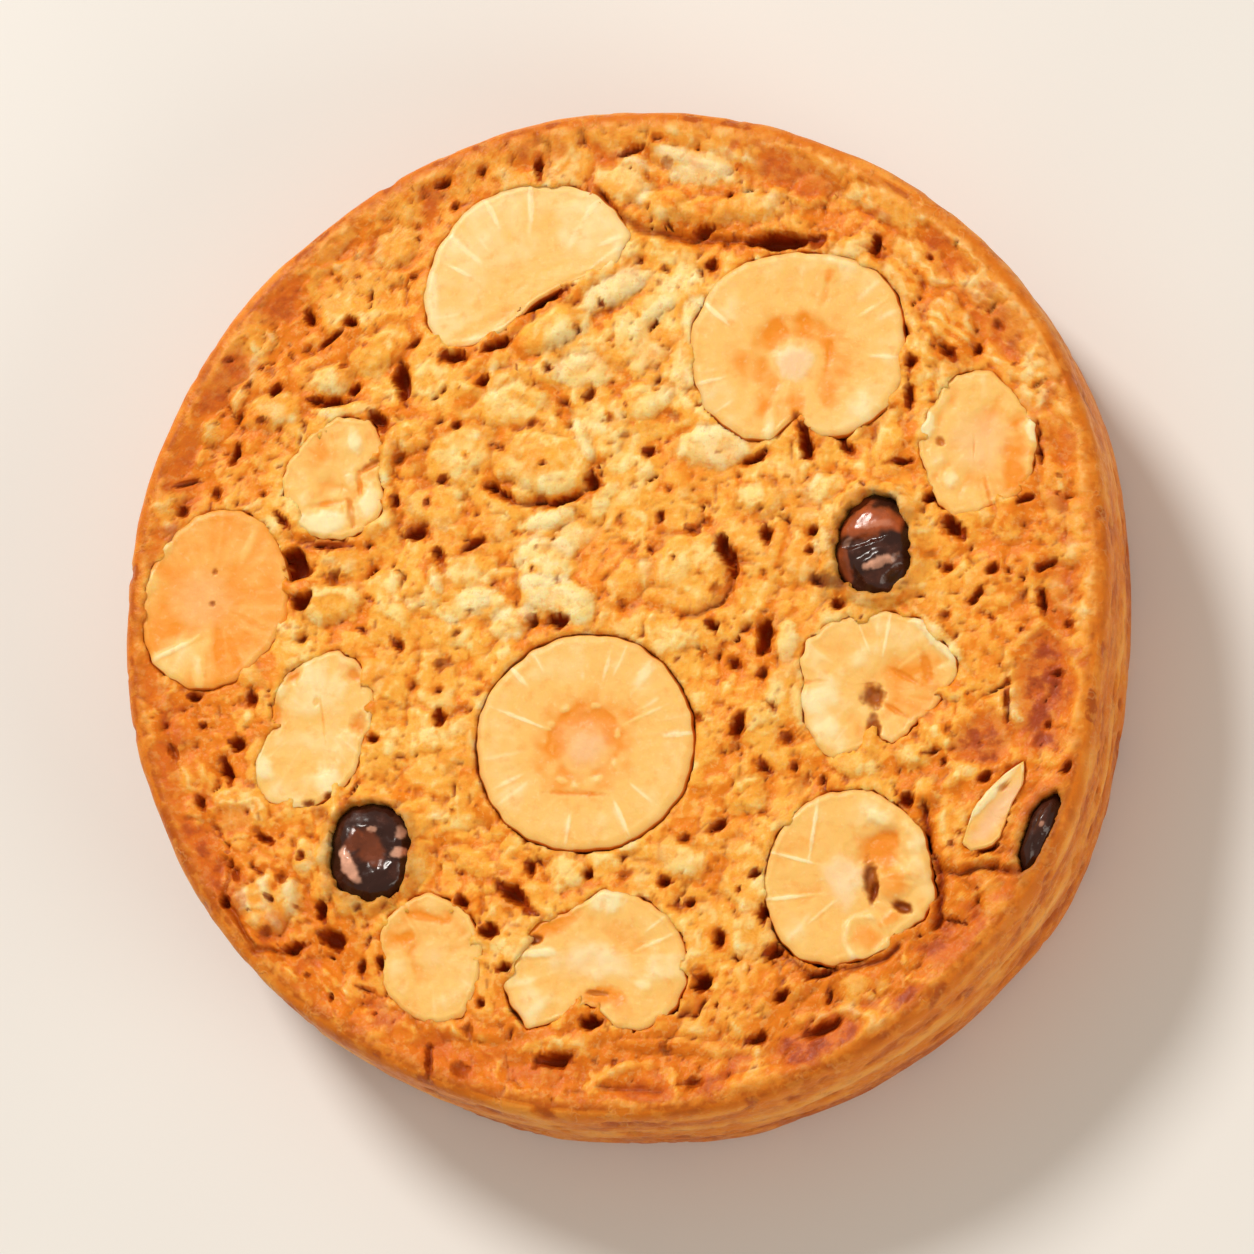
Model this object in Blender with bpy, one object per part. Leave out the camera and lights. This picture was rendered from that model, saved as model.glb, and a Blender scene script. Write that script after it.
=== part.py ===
"""A round sable cookie: a thick baked dough with hazelnut slices and chocolate drops set in its top.

Metres, +Z up. The origin is at the middle of the flat base. Seen from above, +X is to the right.
"""
import bisect
import math
import random

import bmesh
import bpy
from mathutils import Matrix, Vector, noise

MM = 0.001
GAP = 0.3 * MM                   # air between a set-in piece and the dough round it

# The dough
RADIUS = 30.0 * MM               # mean radius of the baked round
DOUGH_HEIGHT = 10.9 * MM         # base to the mean level of the top
RIM_WAVES = (                    # how the outline strays from a circle: waves round, size, direction of a crest
    (1, 0.27 * MM, 13.0),
    (2, 0.40 * MM, 80.0),
    (3, 0.32 * MM, 51.0),
    (4, 0.20 * MM, 36.0),
    (5, 0.06 * MM, 21.0),
)
RIM_BULGE = 0.85 * MM            # the wall swells past the drop in the rim
RIM_BULGE_AT = -28.0             # direction of that swelling, degrees
RIM_BULGE_WIDTH = 15.0           # degrees
TOP_CELLS = 38                   # grid cells across the top
EDGE_INSET = 0.75 * MM           # the rounded rim starts this far in from the wall

# The relief of the top
SWELL_SIZE = 13.0 * MM
SWELL_HEIGHT = 0.30 * MM
LUMP_SIZE = 4.0 * MM
LUMP_HEIGHT = 0.90 * MM
CLEFT_SHARE = 0.16               # how wide the clefts between lumps are, as a share of a lump
CLEFT_DEPTH = 0.35 * MM
LIP_HEIGHT = 0.30 * MM           # the thin raised rim
LIP_INSET = 1.1 * MM
LIP_WIDTH = 0.8 * MM
BAND_DEPTH = 0.25 * MM           # the smoother, lower band inside the lip
BAND_INSET = 3.2 * MM
BAND_WIDTH = 1.4 * MM

# The wall: how far in from the outline, and how high, for each ring below the top
WALL_RINGS = (
    (0.22 * MM, DOUGH_HEIGHT - 0.35 * MM),
    (0.00 * MM, DOUGH_HEIGHT - 1.30 * MM),
    (-0.12 * MM, 6.0 * MM),
    (0.00 * MM, 2.4 * MM),
    (0.30 * MM, 0.75 * MM),
    (1.10 * MM, 0.0),
)
CREASE_HEIGHT = 0.13 * MM        # streaks that run round the wall
CREASE_LENGTH = 9.0 * MM
CREASE_SPACING = 1.5 * MM

# A hazelnut slice: rings from the middle of its face, over the edge, to the middle of its underside,
# as a share of its outline and a height from its face
SLICE_RINGS = (
    (0.00, -0.22 * MM),
    (0.34, -0.14 * MM),
    (0.70, 0.00 * MM),
    (0.95, -0.03 * MM),
    (1.00, -0.40 * MM),
    (0.95, -2.40 * MM),
    (0.62, -3.90 * MM),
    (0.00, -4.40 * MM),
)
SLICE_SIDES = 24

# A chocolate drop: the same, from the middle of its crown
DROP_RINGS = (
    (0.00, 0.00 * MM),
    (0.45, -0.10 * MM),
    (0.85, -0.50 * MM),
    (1.00, -1.30 * MM),
    (0.80, -2.60 * MM),
    (0.00, -3.10 * MM),
)
DROP_SIDES = 16
CUT_ABOVE = 3.0 * MM             # how far a pocket's cutter stands above the dough

# Slices: name, middle (mm), face above the mean top (mm),
# points of the outline from the middle (mm), anticlockwise
SLICES = (
    ("hazelnut_top_half", (-5.9, 20.9), 0.10, (
        (6.8, 0.5), (6.9, 1.5), (6.1, 3.0), (4.9, 4.2), (2.9, 5.0), (0.6, 5.2), (-1.6, 4.75),
        (-3.5, 3.6), (-4.9, 1.9), (-5.8, -0.4), (-5.9, -2.6), (-5.3, -4.4), (-4.3, -5.1), (-3.0, -4.9),
        (-2.0, -4.4), (-0.7, -3.8), (0.7, -2.4), (2.2, -1.5), (4.4, -0.6),
    )),
    ("hazelnut_upper_round", (10.85, 15.5), 0.05, (
        (6.75, 0.0), (6.45, 2.2), (5.2, 4.4), (3.5, 5.5), (1.2, 5.9), (-1.2, 5.95), (-3.6, 5.3),
        (-5.5, 3.6), (-6.5, 1.2), (-6.45, -1.0), (-5.8, -3.2), (-4.6, -4.6), (-3.0, -5.4), (-1.3, -5.5),
        (-0.4, -4.7), (0.2, -4.1), (0.8, -4.9), (1.7, -5.5), (3.0, -5.5), (4.4, -4.8), (5.8, -3.2),
        (6.55, -1.6),
    )),
    ("hazelnut_middle_round", (-1.4, -7.9), 0.15, (
        (6.65, 0.0), (6.1, 2.6), (4.6, 4.75), (2.5, 6.15), (0.0, 6.6), (-2.5, 6.15), (-4.7, 4.6),
        (-6.15, 2.5), (-6.65, 0.0), (-6.2, -2.5), (-4.75, -4.7), (-2.6, -6.1), (0.0, -6.55),
        (2.5, -6.15), (4.7, -4.7), (6.15, -2.6),
    )),
    ("hazelnut_left", (-24.0, 1.1), 0.00, (
        (4.6, 0.0), (4.5, 1.5), (4.0, 3.2), (2.8, 4.8), (1.2, 5.6), (-0.6, 5.6), (-2.1, 4.8),
        (-3.2, 3.5), (-4.1, 2.0), (-4.6, 0.2), (-4.6, -1.6), (-4.1, -3.2), (-3.3, -4.4), (-2.0, -5.2),
        (-0.4, -5.5), (1.1, -5.1), (2.6, -3.9), (3.8, -2.5), (4.5, -1.2),
    )),
    ("hazelnut_left_pale", (-17.75, -6.75), 0.10, (
        (3.6, 0.0), (3.7, 1.3), (3.4, 2.9), (2.7, 4.2), (1.5, 4.8), (0.3, 4.55), (-0.9, 4.1),
        (-1.8, 3.4), (-2.5, 2.4), (-2.8, 1.2), (-2.75, 0.1), (-3.2, -0.9), (-3.75, -2.2), (-3.5, -3.6),
        (-2.7, -4.6), (-1.3, -4.9), (0.2, -4.8), (1.4, -4.3), (2.3, -3.4), (2.8, -2.2), (3.0, -0.9),
    )),
    ("hazelnut_left_small", (-16.75, 8.4), 0.15, (
        (2.6, 0.3), (2.8, 1.4), (2.7, 2.5), (1.9, 3.5), (0.6, 3.85), (-0.6, 3.6), (-1.5, 2.9),
        (-2.4, 1.9), (-3.3, 0.7), (-3.45, -0.7), (-3.0, -2.0), (-2.3, -3.1), (-1.2, -3.85), (0.3, -3.95),
        (1.7, -3.4), (2.8, -2.4), (3.0, -1.1),
    )),
    ("hazelnut_bottom_heart", (-0.35, -20.7), 0.10, (
        (5.5, 0.0), (4.7, 1.8), (3.8, 2.9), (2.5, 3.7), (1.0, 4.05), (-0.4, 4.1), (-1.3, 3.2),
        (-2.8, 2.6), (-4.2, 2.0), (-4.6, 0.9), (-5.3, -0.3), (-5.8, -1.8), (-5.4, -3.1), (-4.6, -4.1),
        (-3.5, -4.6), (-2.4, -3.9), (-1.4, -3.0), (-0.4, -2.8), (0.5, -3.5), (1.3, -4.3), (2.4, -4.5),
        (3.7, -4.1), (4.8, -3.1), (5.5, -1.7),
    )),
    ("hazelnut_lower_right", (14.4, -16.0), 0.05, (
        (5.2, -0.5), (4.95, 0.9), (4.7, 2.4), (4.0, 3.4), (3.1, 3.8), (2.4, 4.6), (1.2, 5.2),
        (-0.2, 5.2), (-1.6, 4.95), (-2.7, 4.4), (-4.0, 3.1), (-4.8, 1.6), (-5.1, 0.0), (-5.0, -1.8),
        (-4.4, -3.4), (-3.4, -4.6), (-2.1, -5.4), (-0.6, -5.4), (0.9, -5.0), (2.2, -4.7), (2.8, -3.8),
        (3.6, -3.2), (4.5, -2.9), (5.1, -1.9),
    )),
    ("hazelnut_right_ragged", (15.9, -4.6), 0.05, (
        (4.7, 0.0), (4.9, 1.1), (4.2, 2.4), (3.2, 3.5), (1.9, 4.2), (0.2, 4.35), (-1.6, 4.2),
        (-3.1, 3.7), (-4.3, 2.7), (-4.8, 1.4), (-4.5, 0.0), (-4.55, -1.5), (-4.5, -2.8), (-3.7, -3.7),
        (-2.7, -4.5), (-1.6, -4.5), (-0.7, -3.8), (0.2, -3.3), (1.1, -3.9), (1.9, -3.3), (2.5, -2.4),
        (3.7, -1.6),
    )),
    ("hazelnut_upper_right", (21.5, 9.6), 0.10, (
        (3.8, -0.3), (3.85, 1.0), (3.1, 2.0), (2.4, 2.9), (1.6, 3.9), (0.5, 4.5), (-0.7, 4.5),
        (-1.7, 4.0), (-2.3, 2.9), (-2.9, 1.9), (-3.4, 0.8), (-3.4, -0.6), (-2.9, -1.9), (-2.5, -3.2),
        (-1.8, -4.2), (-0.6, -4.6), (0.5, -4.2), (1.6, -3.8), (2.8, -3.2), (3.4, -2.0),
    )),
    ("hazelnut_bottom_left", (-10.5, -20.5), 0.05, (
        (3.3, 0.0), (3.1, 1.3), (2.4, 2.5), (1.2, 3.5), (-0.3, 3.9), (-1.8, 3.2), (-2.8, 2.2),
        (-3.1, 1.1), (-2.8, 0.1), (-2.8, -1.1), (-2.4, -2.3), (-1.5, -3.2), (-0.3, -3.9), (1.1, -4.0),
        (2.2, -3.6), (2.8, -2.4), (3.15, -1.2),
    )),
    ("hazelnut_rim_sliver", (22.9, -12.45), 0.30, (
        (1.3, 0.9), (1.9, 2.0), (2.2, 2.9), (1.7, 3.2), (0.8, 2.5), (-0.2, 1.5), (-1.1, 0.4),
        (-1.5, -0.7), (-1.9, -1.7), (-1.5, -2.3), (-0.6, -2.2), (0.2, -1.8), (0.6, -1.0), (0.9, -0.1),
    )),
)
CURVE_STEPS = 10                 # steps of the smooth outline from one of its points to the next

# Drops: name, middle (mm), crown above the mean top (mm), half length and half width (mm), turn (degrees),
# waves in the outline (number round, depth as a share, crest in degrees)
DROPS = (
    ("chocolate_right", (15.6, 3.5), 0.75, (2.35, 3.20), 0, ((3, 0.04, 80),)),
    ("chocolate_left", (-14.2, -14.2), 0.65, (2.60, 3.15), 0, ((4, 0.05, 40),)),
    ("chocolate_rim", (25.65, -13.5), 0.45, (2.85, 0.95), 67, ((3, 0.05, 0),)),
)
OVAL_POINTS = 24

# Flakes and lumps of nut and crumb, fused to the dough: middle (mm), half length and half width (mm),
# turn (degrees), height above the mean top (mm)
FLAKES = (
    ((5.3, 8.3), (1.8, 1.2), 10, 0.45),
    ((-4.3, 2.9), (2.1, 2.0), 30, 0.50),
    ((-4.4, 8.9), (2.4, 1.3), -25, 0.65),
    ((2.4, -27.6), (2.2, 1.0), -6, 0.45),
    ((-19.7, -16.8), (2.4, 1.7), 35, 0.55),
    ((7.0, 23.6), (5.2, 0.9), -6, 0.60),
    ((7.3, -1.8), (1.5, 1.2), 50, 0.50),
    ((-9.0, 9.6), (1.7, 1.1), 70, 0.50),
    ((18.6, -20.9), (1.9, 1.0), 42, 0.45),
    ((-16.0, 17.0), (2.0, 1.1), 40, 0.50),
)
FLAKE_SIDES = 8
FLAKE_LEVELS = 4
FLAKE_DEPTH = 1.4 * MM           # how far a flake's body goes down into the dough

# Crumbs strewn over the top and fused to it
CRUMB_COUNT = 22
CRUMB_RADIUS = (0.55 * MM, 0.95 * MM)
CRUMB_CLEARANCE = 0.5 * MM       # between a crumb and a pocket
CRUMB_SINK = 0.2                 # how deep its middle lies under the surface, as a share of its radius
CRUMB_TRIES = 4000
CRUMB_SEED = 7


def remove_scene_objects():
    for obj in list(bpy.data.objects):
        bpy.data.objects.remove(obj, do_unlink=True)


def new_collection(name):
    collection = bpy.data.collections.new(name)
    bpy.context.scene.collection.children.link(collection)
    return collection


def make_material(name, colour, roughness, metallic=0.0):
    material = bpy.data.materials.new(name)
    material.use_nodes = True
    shader = material.node_tree.nodes["Principled BSDF"]
    shader.inputs["Base Color"].default_value = (*colour, 1.0)
    shader.inputs["Roughness"].default_value = roughness
    shader.inputs["Metallic"].default_value = metallic
    material.diffuse_color = (*colour, 1.0)
    return material


def dough_material():
    return make_material("baked dough", (0.74, 0.34, 0.085), 0.62)


def nut_material():
    return make_material("hazelnut", (0.90, 0.62, 0.28), 0.50)


def chocolate_material():
    return make_material("chocolate", (0.060, 0.022, 0.018), 0.22)


def smoothstep(low, high, value):
    share = min(1.0, max(0.0, (value - low) / (high - low)))
    return share * share * (3.0 - 2.0 * share)


def bump(value, middle, width):
    """A smooth hump, 1 at the middle and almost 0 two widths away."""
    return math.exp(-((value - middle) / width) ** 2)


def turn_between(angle, direction):
    """The turn from a direction in degrees to an angle in radians, as degrees from -180 to 180."""
    return (math.degrees(angle) - direction + 180.0) % 360.0 - 180.0


def rim_radius(angle):
    """Distance from the middle to the wall in one direction."""
    radius = RADIUS
    for count, size, crest in RIM_WAVES:
        radius += size * math.cos(count * (angle - math.radians(crest)))
    return radius + RIM_BULGE * bump(turn_between(angle, RIM_BULGE_AT), 0.0, RIM_BULGE_WIDTH)


def dough_level(x, y):
    """Height of the top at a place on the plan: swells, lumps parted by clefts, a smoother band and a lip."""
    inset = rim_radius(math.atan2(y, x)) - math.hypot(x, y)
    swell = SWELL_HEIGHT * noise.noise(Vector((x, y, 0.0)) / SWELL_SIZE + Vector((3.0, 1.0, 5.0)))
    near, second = noise.voronoi(Vector((x, y, 0.0)) / LUMP_SIZE)[0][:2]
    lump = LUMP_HEIGHT * (0.45 - near)
    cleft = CLEFT_DEPTH * (1.0 - smoothstep(0.0, CLEFT_SHARE, second - near))
    crumbly = smoothstep(LIP_INSET, BAND_INSET + BAND_WIDTH, inset)
    lip = LIP_HEIGHT * bump(inset, LIP_INSET, LIP_WIDTH)
    band = BAND_DEPTH * bump(inset, BAND_INSET, BAND_WIDTH)
    return DOUGH_HEIGHT + swell + crumbly * (lump - cleft) + lip - band


def oval(halves, turn, waves):
    """Points of a waved oval round its middle, in millimetres."""
    length, width = halves
    points = []
    for step in range(OVAL_POINTS):
        angle = math.tau * step / OVAL_POINTS
        along = angle - math.radians(turn)
        radius = length * width / math.hypot(width * math.cos(along), length * math.sin(along))
        for count, depth, crest in waves:
            radius *= 1.0 + depth * math.cos(count * (angle - math.radians(crest)))
        points.append((radius * math.cos(angle), radius * math.sin(angle)))
    return points


def closed_curve(points):
    """Close points along the smooth closed curve through the given ones."""
    count = len(points)
    curve = []
    for place in range(count):
        before, first, last, after = [Vector(points[(place + step) % count]) for step in (-1, 0, 1, 2)]
        for step in range(CURVE_STEPS):
            share = step / CURVE_STEPS
            cubic = 3.0 * (first - last) + after - before
            square = 2.0 * before - 5.0 * first + 4.0 * last - after
            curve.append(first + 0.5 * share * (last - before + share * (square + share * cubic)))
    return curve


def outline_reach(curve):
    """A function that gives the distance from a piece's middle to its outline in any direction."""
    rows = sorted((math.atan2(y, x), math.hypot(x, y)) for x, y in curve)
    angles = [row[0] for row in rows]

    def reach(angle):
        place = bisect.bisect(angles, angle)
        first_angle, first = rows[place - 1]
        last_angle, last = rows[place % len(rows)]
        share = ((angle - first_angle) % math.tau) / ((last_angle - first_angle) % math.tau)
        return (first + share * (last - first)) * MM

    return reach


def grown_reach(curve, margin):
    """The same for the outline with a margin all round it."""
    near = margin / MM

    def reach(angle):
        furthest = 0.0
        for x, y in curve:
            along = x * math.cos(angle) + y * math.sin(angle)
            across = y * math.cos(angle) - x * math.sin(angle)
            if along > 0.0 and abs(across) < near:
                furthest = max(furthest, along + math.sqrt(near * near - across * across))
        return furthest * MM

    return reach


def make_set_in(name, middle, sides, rings, outline, top, deepen=0.0, rise=0.0):
    """A closed piece built on a sphere's rings: each ring follows the outline at its own share and height."""
    steps = len(rings) - 1
    bm = bmesh.new()
    bmesh.ops.create_uvsphere(bm, u_segments=sides, v_segments=steps, radius=1.0)
    for vert in bm.verts:
        step = round(math.acos(max(-1.0, min(1.0, vert.co.z))) / math.pi * steps)
        share, height = rings[step]
        angle = math.atan2(vert.co.y, vert.co.x)
        reach = share * outline(angle)
        drop = deepen if step > steps / 2 else -rise
        vert.co = (reach * math.cos(angle), reach * math.sin(angle), height - drop)
    mesh = bpy.data.meshes.new(name)
    bm.to_mesh(mesh)
    bm.free()
    piece = bpy.data.objects.new(name, mesh)
    piece.location = (middle[0] * MM, middle[1] * MM, top)
    return piece


def pocket_rings(rings):
    """The rings of the cutter that makes a piece's pocket: straight up from the widest ring, no dish."""
    widest = max(range(len(rings)), key=lambda index: rings[index][0])
    straight = [(share, 0.0) for share, _ in rings[:widest]]
    straight[-1] = (1.0, 0.0)
    return tuple(straight) + rings[widest:]


def outline_curve(row):
    """The smooth outline of a slice, or of a drop, from its row."""
    points = row[3] if len(row) == 4 else oval(*row[3:])
    return closed_curve(points)


def add_set_in(row, rings, sides, material, parts, cutters):
    """One piece and the cutter of the pocket that it sits in."""
    name, middle, lift = row[:3]
    curve = outline_curve(row)
    top = DOUGH_HEIGHT + lift * MM
    piece = make_set_in(name, middle, sides, rings, outline_reach(curve), top)
    piece.data.materials.append(material)
    piece.data.shade_smooth()
    piece.data.set_sharp_from_angle(angle=math.radians(40))
    parts.objects.link(piece)
    pocket = grown_reach(curve, GAP)
    cutter = make_set_in(name + "_pocket", middle, sides, pocket_rings(rings), pocket, top, GAP, CUT_ABOVE)
    cutter.hide_render = True
    cutter.display_type = 'WIRE'
    cutters.objects.link(cutter)


def make_dough_mesh():
    """The dough: a grid drawn out to a round top, its edge run down the wall, and a flat base."""
    bm = bmesh.new()
    bmesh.ops.create_grid(bm, x_segments=TOP_CELLS, y_segments=TOP_CELLS, size=1.0)
    for vert in bm.verts:
        across, along = vert.co.x, vert.co.y
        x = across * math.sqrt(1.0 - along * along / 2.0)
        y = along * math.sqrt(1.0 - across * across / 2.0)
        angle = math.atan2(y, x)
        reach = math.hypot(x, y) * (rim_radius(angle) - EDGE_INSET)
        x = reach * math.cos(angle)
        y = reach * math.sin(angle)
        vert.co = (x, y, dough_level(x, y))
    edge = [item for item in bm.edges if item.is_boundary]
    for inset, height in WALL_RINGS:
        grown = bmesh.ops.extrude_edge_only(bm, edges=edge)["geom"]
        edge = [item for item in grown if isinstance(item, bmesh.types.BMEdge) and item.is_boundary]
        for vert in {end for item in edge for end in item.verts}:
            vert.co = wall_point(math.atan2(vert.co.y, vert.co.x), inset, height)
    bmesh.ops.contextual_create(bm, geom=edge)
    bmesh.ops.triangulate(bm, faces=bm.faces)
    bmesh.ops.recalc_face_normals(bm, faces=bm.faces)
    mesh = bpy.data.meshes.new("biscuit")
    bm.to_mesh(mesh)
    bm.free()
    return mesh


def wall_point(angle, inset, height):
    """A point of the wall, pushed in and out by the creases that run round it."""
    streak = noise.noise(Vector((
        RADIUS * math.cos(angle) / CREASE_LENGTH,
        RADIUS * math.sin(angle) / CREASE_LENGTH,
        height / CREASE_SPACING,
    )))
    reach = rim_radius(angle) - inset + CREASE_HEIGHT * streak
    return Vector((reach * math.cos(angle), reach * math.sin(angle), height))


def make_flake(collection, middle, halves, turn, height):
    """A low rounded flake whose body goes down into the dough."""
    bm = bmesh.new()
    bmesh.ops.create_uvsphere(bm, u_segments=FLAKE_SIDES, v_segments=FLAKE_LEVELS, radius=1.0)
    half_height = (height * MM + FLAKE_DEPTH) / 2.0
    place = (
        Matrix.Translation((middle[0] * MM, middle[1] * MM, DOUGH_HEIGHT + height * MM - half_height))
        @ Matrix.Rotation(math.radians(turn), 4, 'Z')
        @ Matrix.Diagonal((halves[0] * MM, halves[1] * MM, half_height, 1.0))
    )
    bmesh.ops.transform(bm, matrix=place, verts=bm.verts)
    mesh = bpy.data.meshes.new("flake")
    bm.to_mesh(mesh)
    bm.free()
    collection.objects.link(bpy.data.objects.new("flake", mesh))


def make_crumb(collection, x, y, radius, draw):
    """A small uneven crumb, half sunk in the top."""
    bm = bmesh.new()
    bmesh.ops.create_icosphere(bm, subdivisions=1, radius=radius)
    for vert in bm.verts:
        vert.co *= draw.uniform(0.85, 1.15)
    lift = Vector((x, y, dough_level(x, y) - CRUMB_SINK * radius))
    bmesh.ops.translate(bm, vec=lift, verts=bm.verts)
    mesh = bpy.data.meshes.new("crumb")
    bm.to_mesh(mesh)
    bm.free()
    collection.objects.link(bpy.data.objects.new("crumb", mesh))


def pocket_places():
    """Middle and furthest reach of every pocket, in metres."""
    places = []
    for row in SLICES + DROPS:
        furthest = max(point.length for point in outline_curve(row))
        places.append((row[1][0] * MM, row[1][1] * MM, furthest * MM + GAP + CRUMB_CLEARANCE))
    return places


def is_clear(x, y, radius, taken):
    """Whether a crumb keeps off every pocket, flake and earlier crumb, and off the rim."""
    if math.hypot(x, y) > rim_radius(math.atan2(y, x)) - BAND_INSET - radius:
        return False
    for other_x, other_y, reach in taken:
        if math.hypot(x - other_x, y - other_y) < reach + radius:
            return False
    return True


def add_crumbs(collection):
    draw = random.Random(CRUMB_SEED)
    taken = pocket_places()
    taken += [(middle[0] * MM, middle[1] * MM, max(halves) * MM) for middle, halves, _, _ in FLAKES]
    made = 0
    for _ in range(CRUMB_TRIES):
        if made == CRUMB_COUNT:
            break
        radius = draw.uniform(*CRUMB_RADIUS)
        reach = RADIUS * math.sqrt(draw.random())
        angle = draw.uniform(0.0, math.tau)
        x = reach * math.cos(angle)
        y = reach * math.sin(angle)
        if is_clear(x, y, radius, taken):
            make_crumb(collection, x, y, radius, draw)
            taken.append((x, y, radius))
            made += 1


def fuse_toppings(biscuit):
    """Join the flakes and crumbs to the dough, so that they are one body."""
    toppings = new_collection("toppings")
    for row in FLAKES:
        make_flake(toppings, *row)
    add_crumbs(toppings)
    union = biscuit.modifiers.new("toppings", 'BOOLEAN')
    union.operation = 'UNION'
    union.operand_type = 'COLLECTION'
    union.collection = toppings
    union.solver = 'EXACT'
    bpy.context.view_layer.update()
    evaluated = biscuit.evaluated_get(bpy.context.evaluated_depsgraph_get())
    fused = bpy.data.meshes.new_from_object(evaluated)
    biscuit.modifiers.remove(union)
    biscuit.data = fused
    for topping in list(toppings.objects):
        bpy.data.objects.remove(topping, do_unlink=True)
    bpy.data.collections.remove(toppings)


def add_biscuit(parts, cutters):
    biscuit = bpy.data.objects.new("biscuit", make_dough_mesh())
    parts.objects.link(biscuit)
    fuse_toppings(biscuit)
    biscuit.data.materials.clear()
    biscuit.data.materials.append(dough_material())
    pockets = biscuit.modifiers.new("pockets", 'BOOLEAN')
    pockets.operation = 'DIFFERENCE'
    pockets.operand_type = 'COLLECTION'
    pockets.collection = cutters
    pockets.solver = 'EXACT'


def main():
    remove_scene_objects()
    parts = new_collection("sable cookie")
    cutters = new_collection("cutters")
    nut = nut_material()
    for row in SLICES:
        add_set_in(row, SLICE_RINGS, SLICE_SIDES, nut, parts, cutters)
    chocolate = chocolate_material()
    for row in DROPS:
        add_set_in(row, DROP_RINGS, DROP_SIDES, chocolate, parts, cutters)
    add_biscuit(parts, cutters)


main()
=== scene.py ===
"""Looks of a round sable cookie: crumbly golden dough with cut hazelnuts and chocolate drops in its top.

Lengths are in millimetres until a mesh is made, and MM turns them into metres.
"""
import math
import random

import bpy
import numpy as np
from mathutils import Matrix, Vector, noise


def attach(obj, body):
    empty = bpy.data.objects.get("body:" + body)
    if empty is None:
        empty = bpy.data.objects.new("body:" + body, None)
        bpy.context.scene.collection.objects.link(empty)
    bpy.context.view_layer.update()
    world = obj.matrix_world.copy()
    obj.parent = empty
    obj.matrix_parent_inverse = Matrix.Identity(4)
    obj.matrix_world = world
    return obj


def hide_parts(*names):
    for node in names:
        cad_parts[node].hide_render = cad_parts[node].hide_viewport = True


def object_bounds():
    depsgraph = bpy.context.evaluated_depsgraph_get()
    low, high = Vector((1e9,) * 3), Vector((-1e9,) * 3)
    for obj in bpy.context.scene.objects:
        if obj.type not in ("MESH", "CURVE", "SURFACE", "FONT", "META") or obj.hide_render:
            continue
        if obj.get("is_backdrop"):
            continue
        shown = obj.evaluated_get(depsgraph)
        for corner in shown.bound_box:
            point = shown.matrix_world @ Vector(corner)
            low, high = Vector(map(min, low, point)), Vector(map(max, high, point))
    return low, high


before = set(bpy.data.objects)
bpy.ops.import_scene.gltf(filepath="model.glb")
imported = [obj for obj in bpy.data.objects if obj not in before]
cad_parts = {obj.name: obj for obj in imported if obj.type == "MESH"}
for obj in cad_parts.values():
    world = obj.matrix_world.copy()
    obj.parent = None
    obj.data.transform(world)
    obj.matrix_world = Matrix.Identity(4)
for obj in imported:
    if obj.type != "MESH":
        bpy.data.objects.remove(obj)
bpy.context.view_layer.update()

MM = 0.001
TAU = math.tau

# The view: straight down but for a tilt, from the lower right of the plan
VIEW_TILT = 16.0
VIEW_FROM = -45.0
VIEW_LENS = 240.0
VIEW_FILL = 0.80                 # share of the picture's width that the biscuit takes

# The dough, as in the solid
DOUGH_HEIGHT = 10.9
EDGE_INSET = 0.75
SWELL_SIZE = 13.0
SWELL_HEIGHT = 0.30
LUMP_SIZE = 4.0
LUMP_HEIGHT = 0.60
LIP_HEIGHT = 0.30
LIP_INSET = 1.1
LIP_WIDTH = 0.8
BAND_DEPTH = 0.25
BAND_INSET = 3.2
BAND_WIDTH = 1.4
EDGE_DROP = 1.1                  # height of the rounded edge under the lip
FOOT_INSET = 1.1                 # the rounded foot
FOOT_HEIGHT = 1.9

# Fineness of the dough's mesh
TOP_CELLS = 304                  # a multiple of 8
EDGE_STEPS = 5
WALL_STEPS = 16
FOOT_STEPS = 5
FINE_RINGS = 2                   # rings under the edge before the points are halved
GRID_REACH = 29.2                # about how far out the top's grid goes
UNFOLD_ROUNDS = 7
ON_RIM = 0.9999                  # share of the disc's radius from which a point counts as its edge
LEVEL_SPAN = 8                   # points to either side over which the edge's level is evened

# The pockets of the set-in pieces
POCKET_DEPTH = 3.2
SLICE_RING_BELOW = 0.40
DROP_RING_BELOW = 1.30


# ---------------------------------------------------------------- numbers

FAR = 99.0                       # farther than anything is
CELL_JITTER = 0.9                # how far a cell's point may lie off its middle, as a share of the cell


def smoothstep(low, high, value):
    share = np.clip((value - low) / (high - low), 0.0, 1.0)
    return share * share * (3.0 - 2.0 * share)


def bump(value, middle, width):
    """A smooth hump, 1 at the middle and almost 0 two widths away."""
    return np.exp(-((value - middle) / width) ** 2)


def hashed(column, row, seed):
    """A repeatable number from 0 to 1 for each cell of a plane."""
    mask = 0xFFFFFFFF
    value = (column * 374761393 + row * 668265263 + seed * 2246822519) & mask
    value = ((value ^ (value >> 13)) * 1274126177) & mask
    value = ((value ^ (value >> 15)) * 2246822519) & mask
    return ((value ^ (value >> 16)) & 0xFFFFFF) / float(0xFFFFFF)


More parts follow.
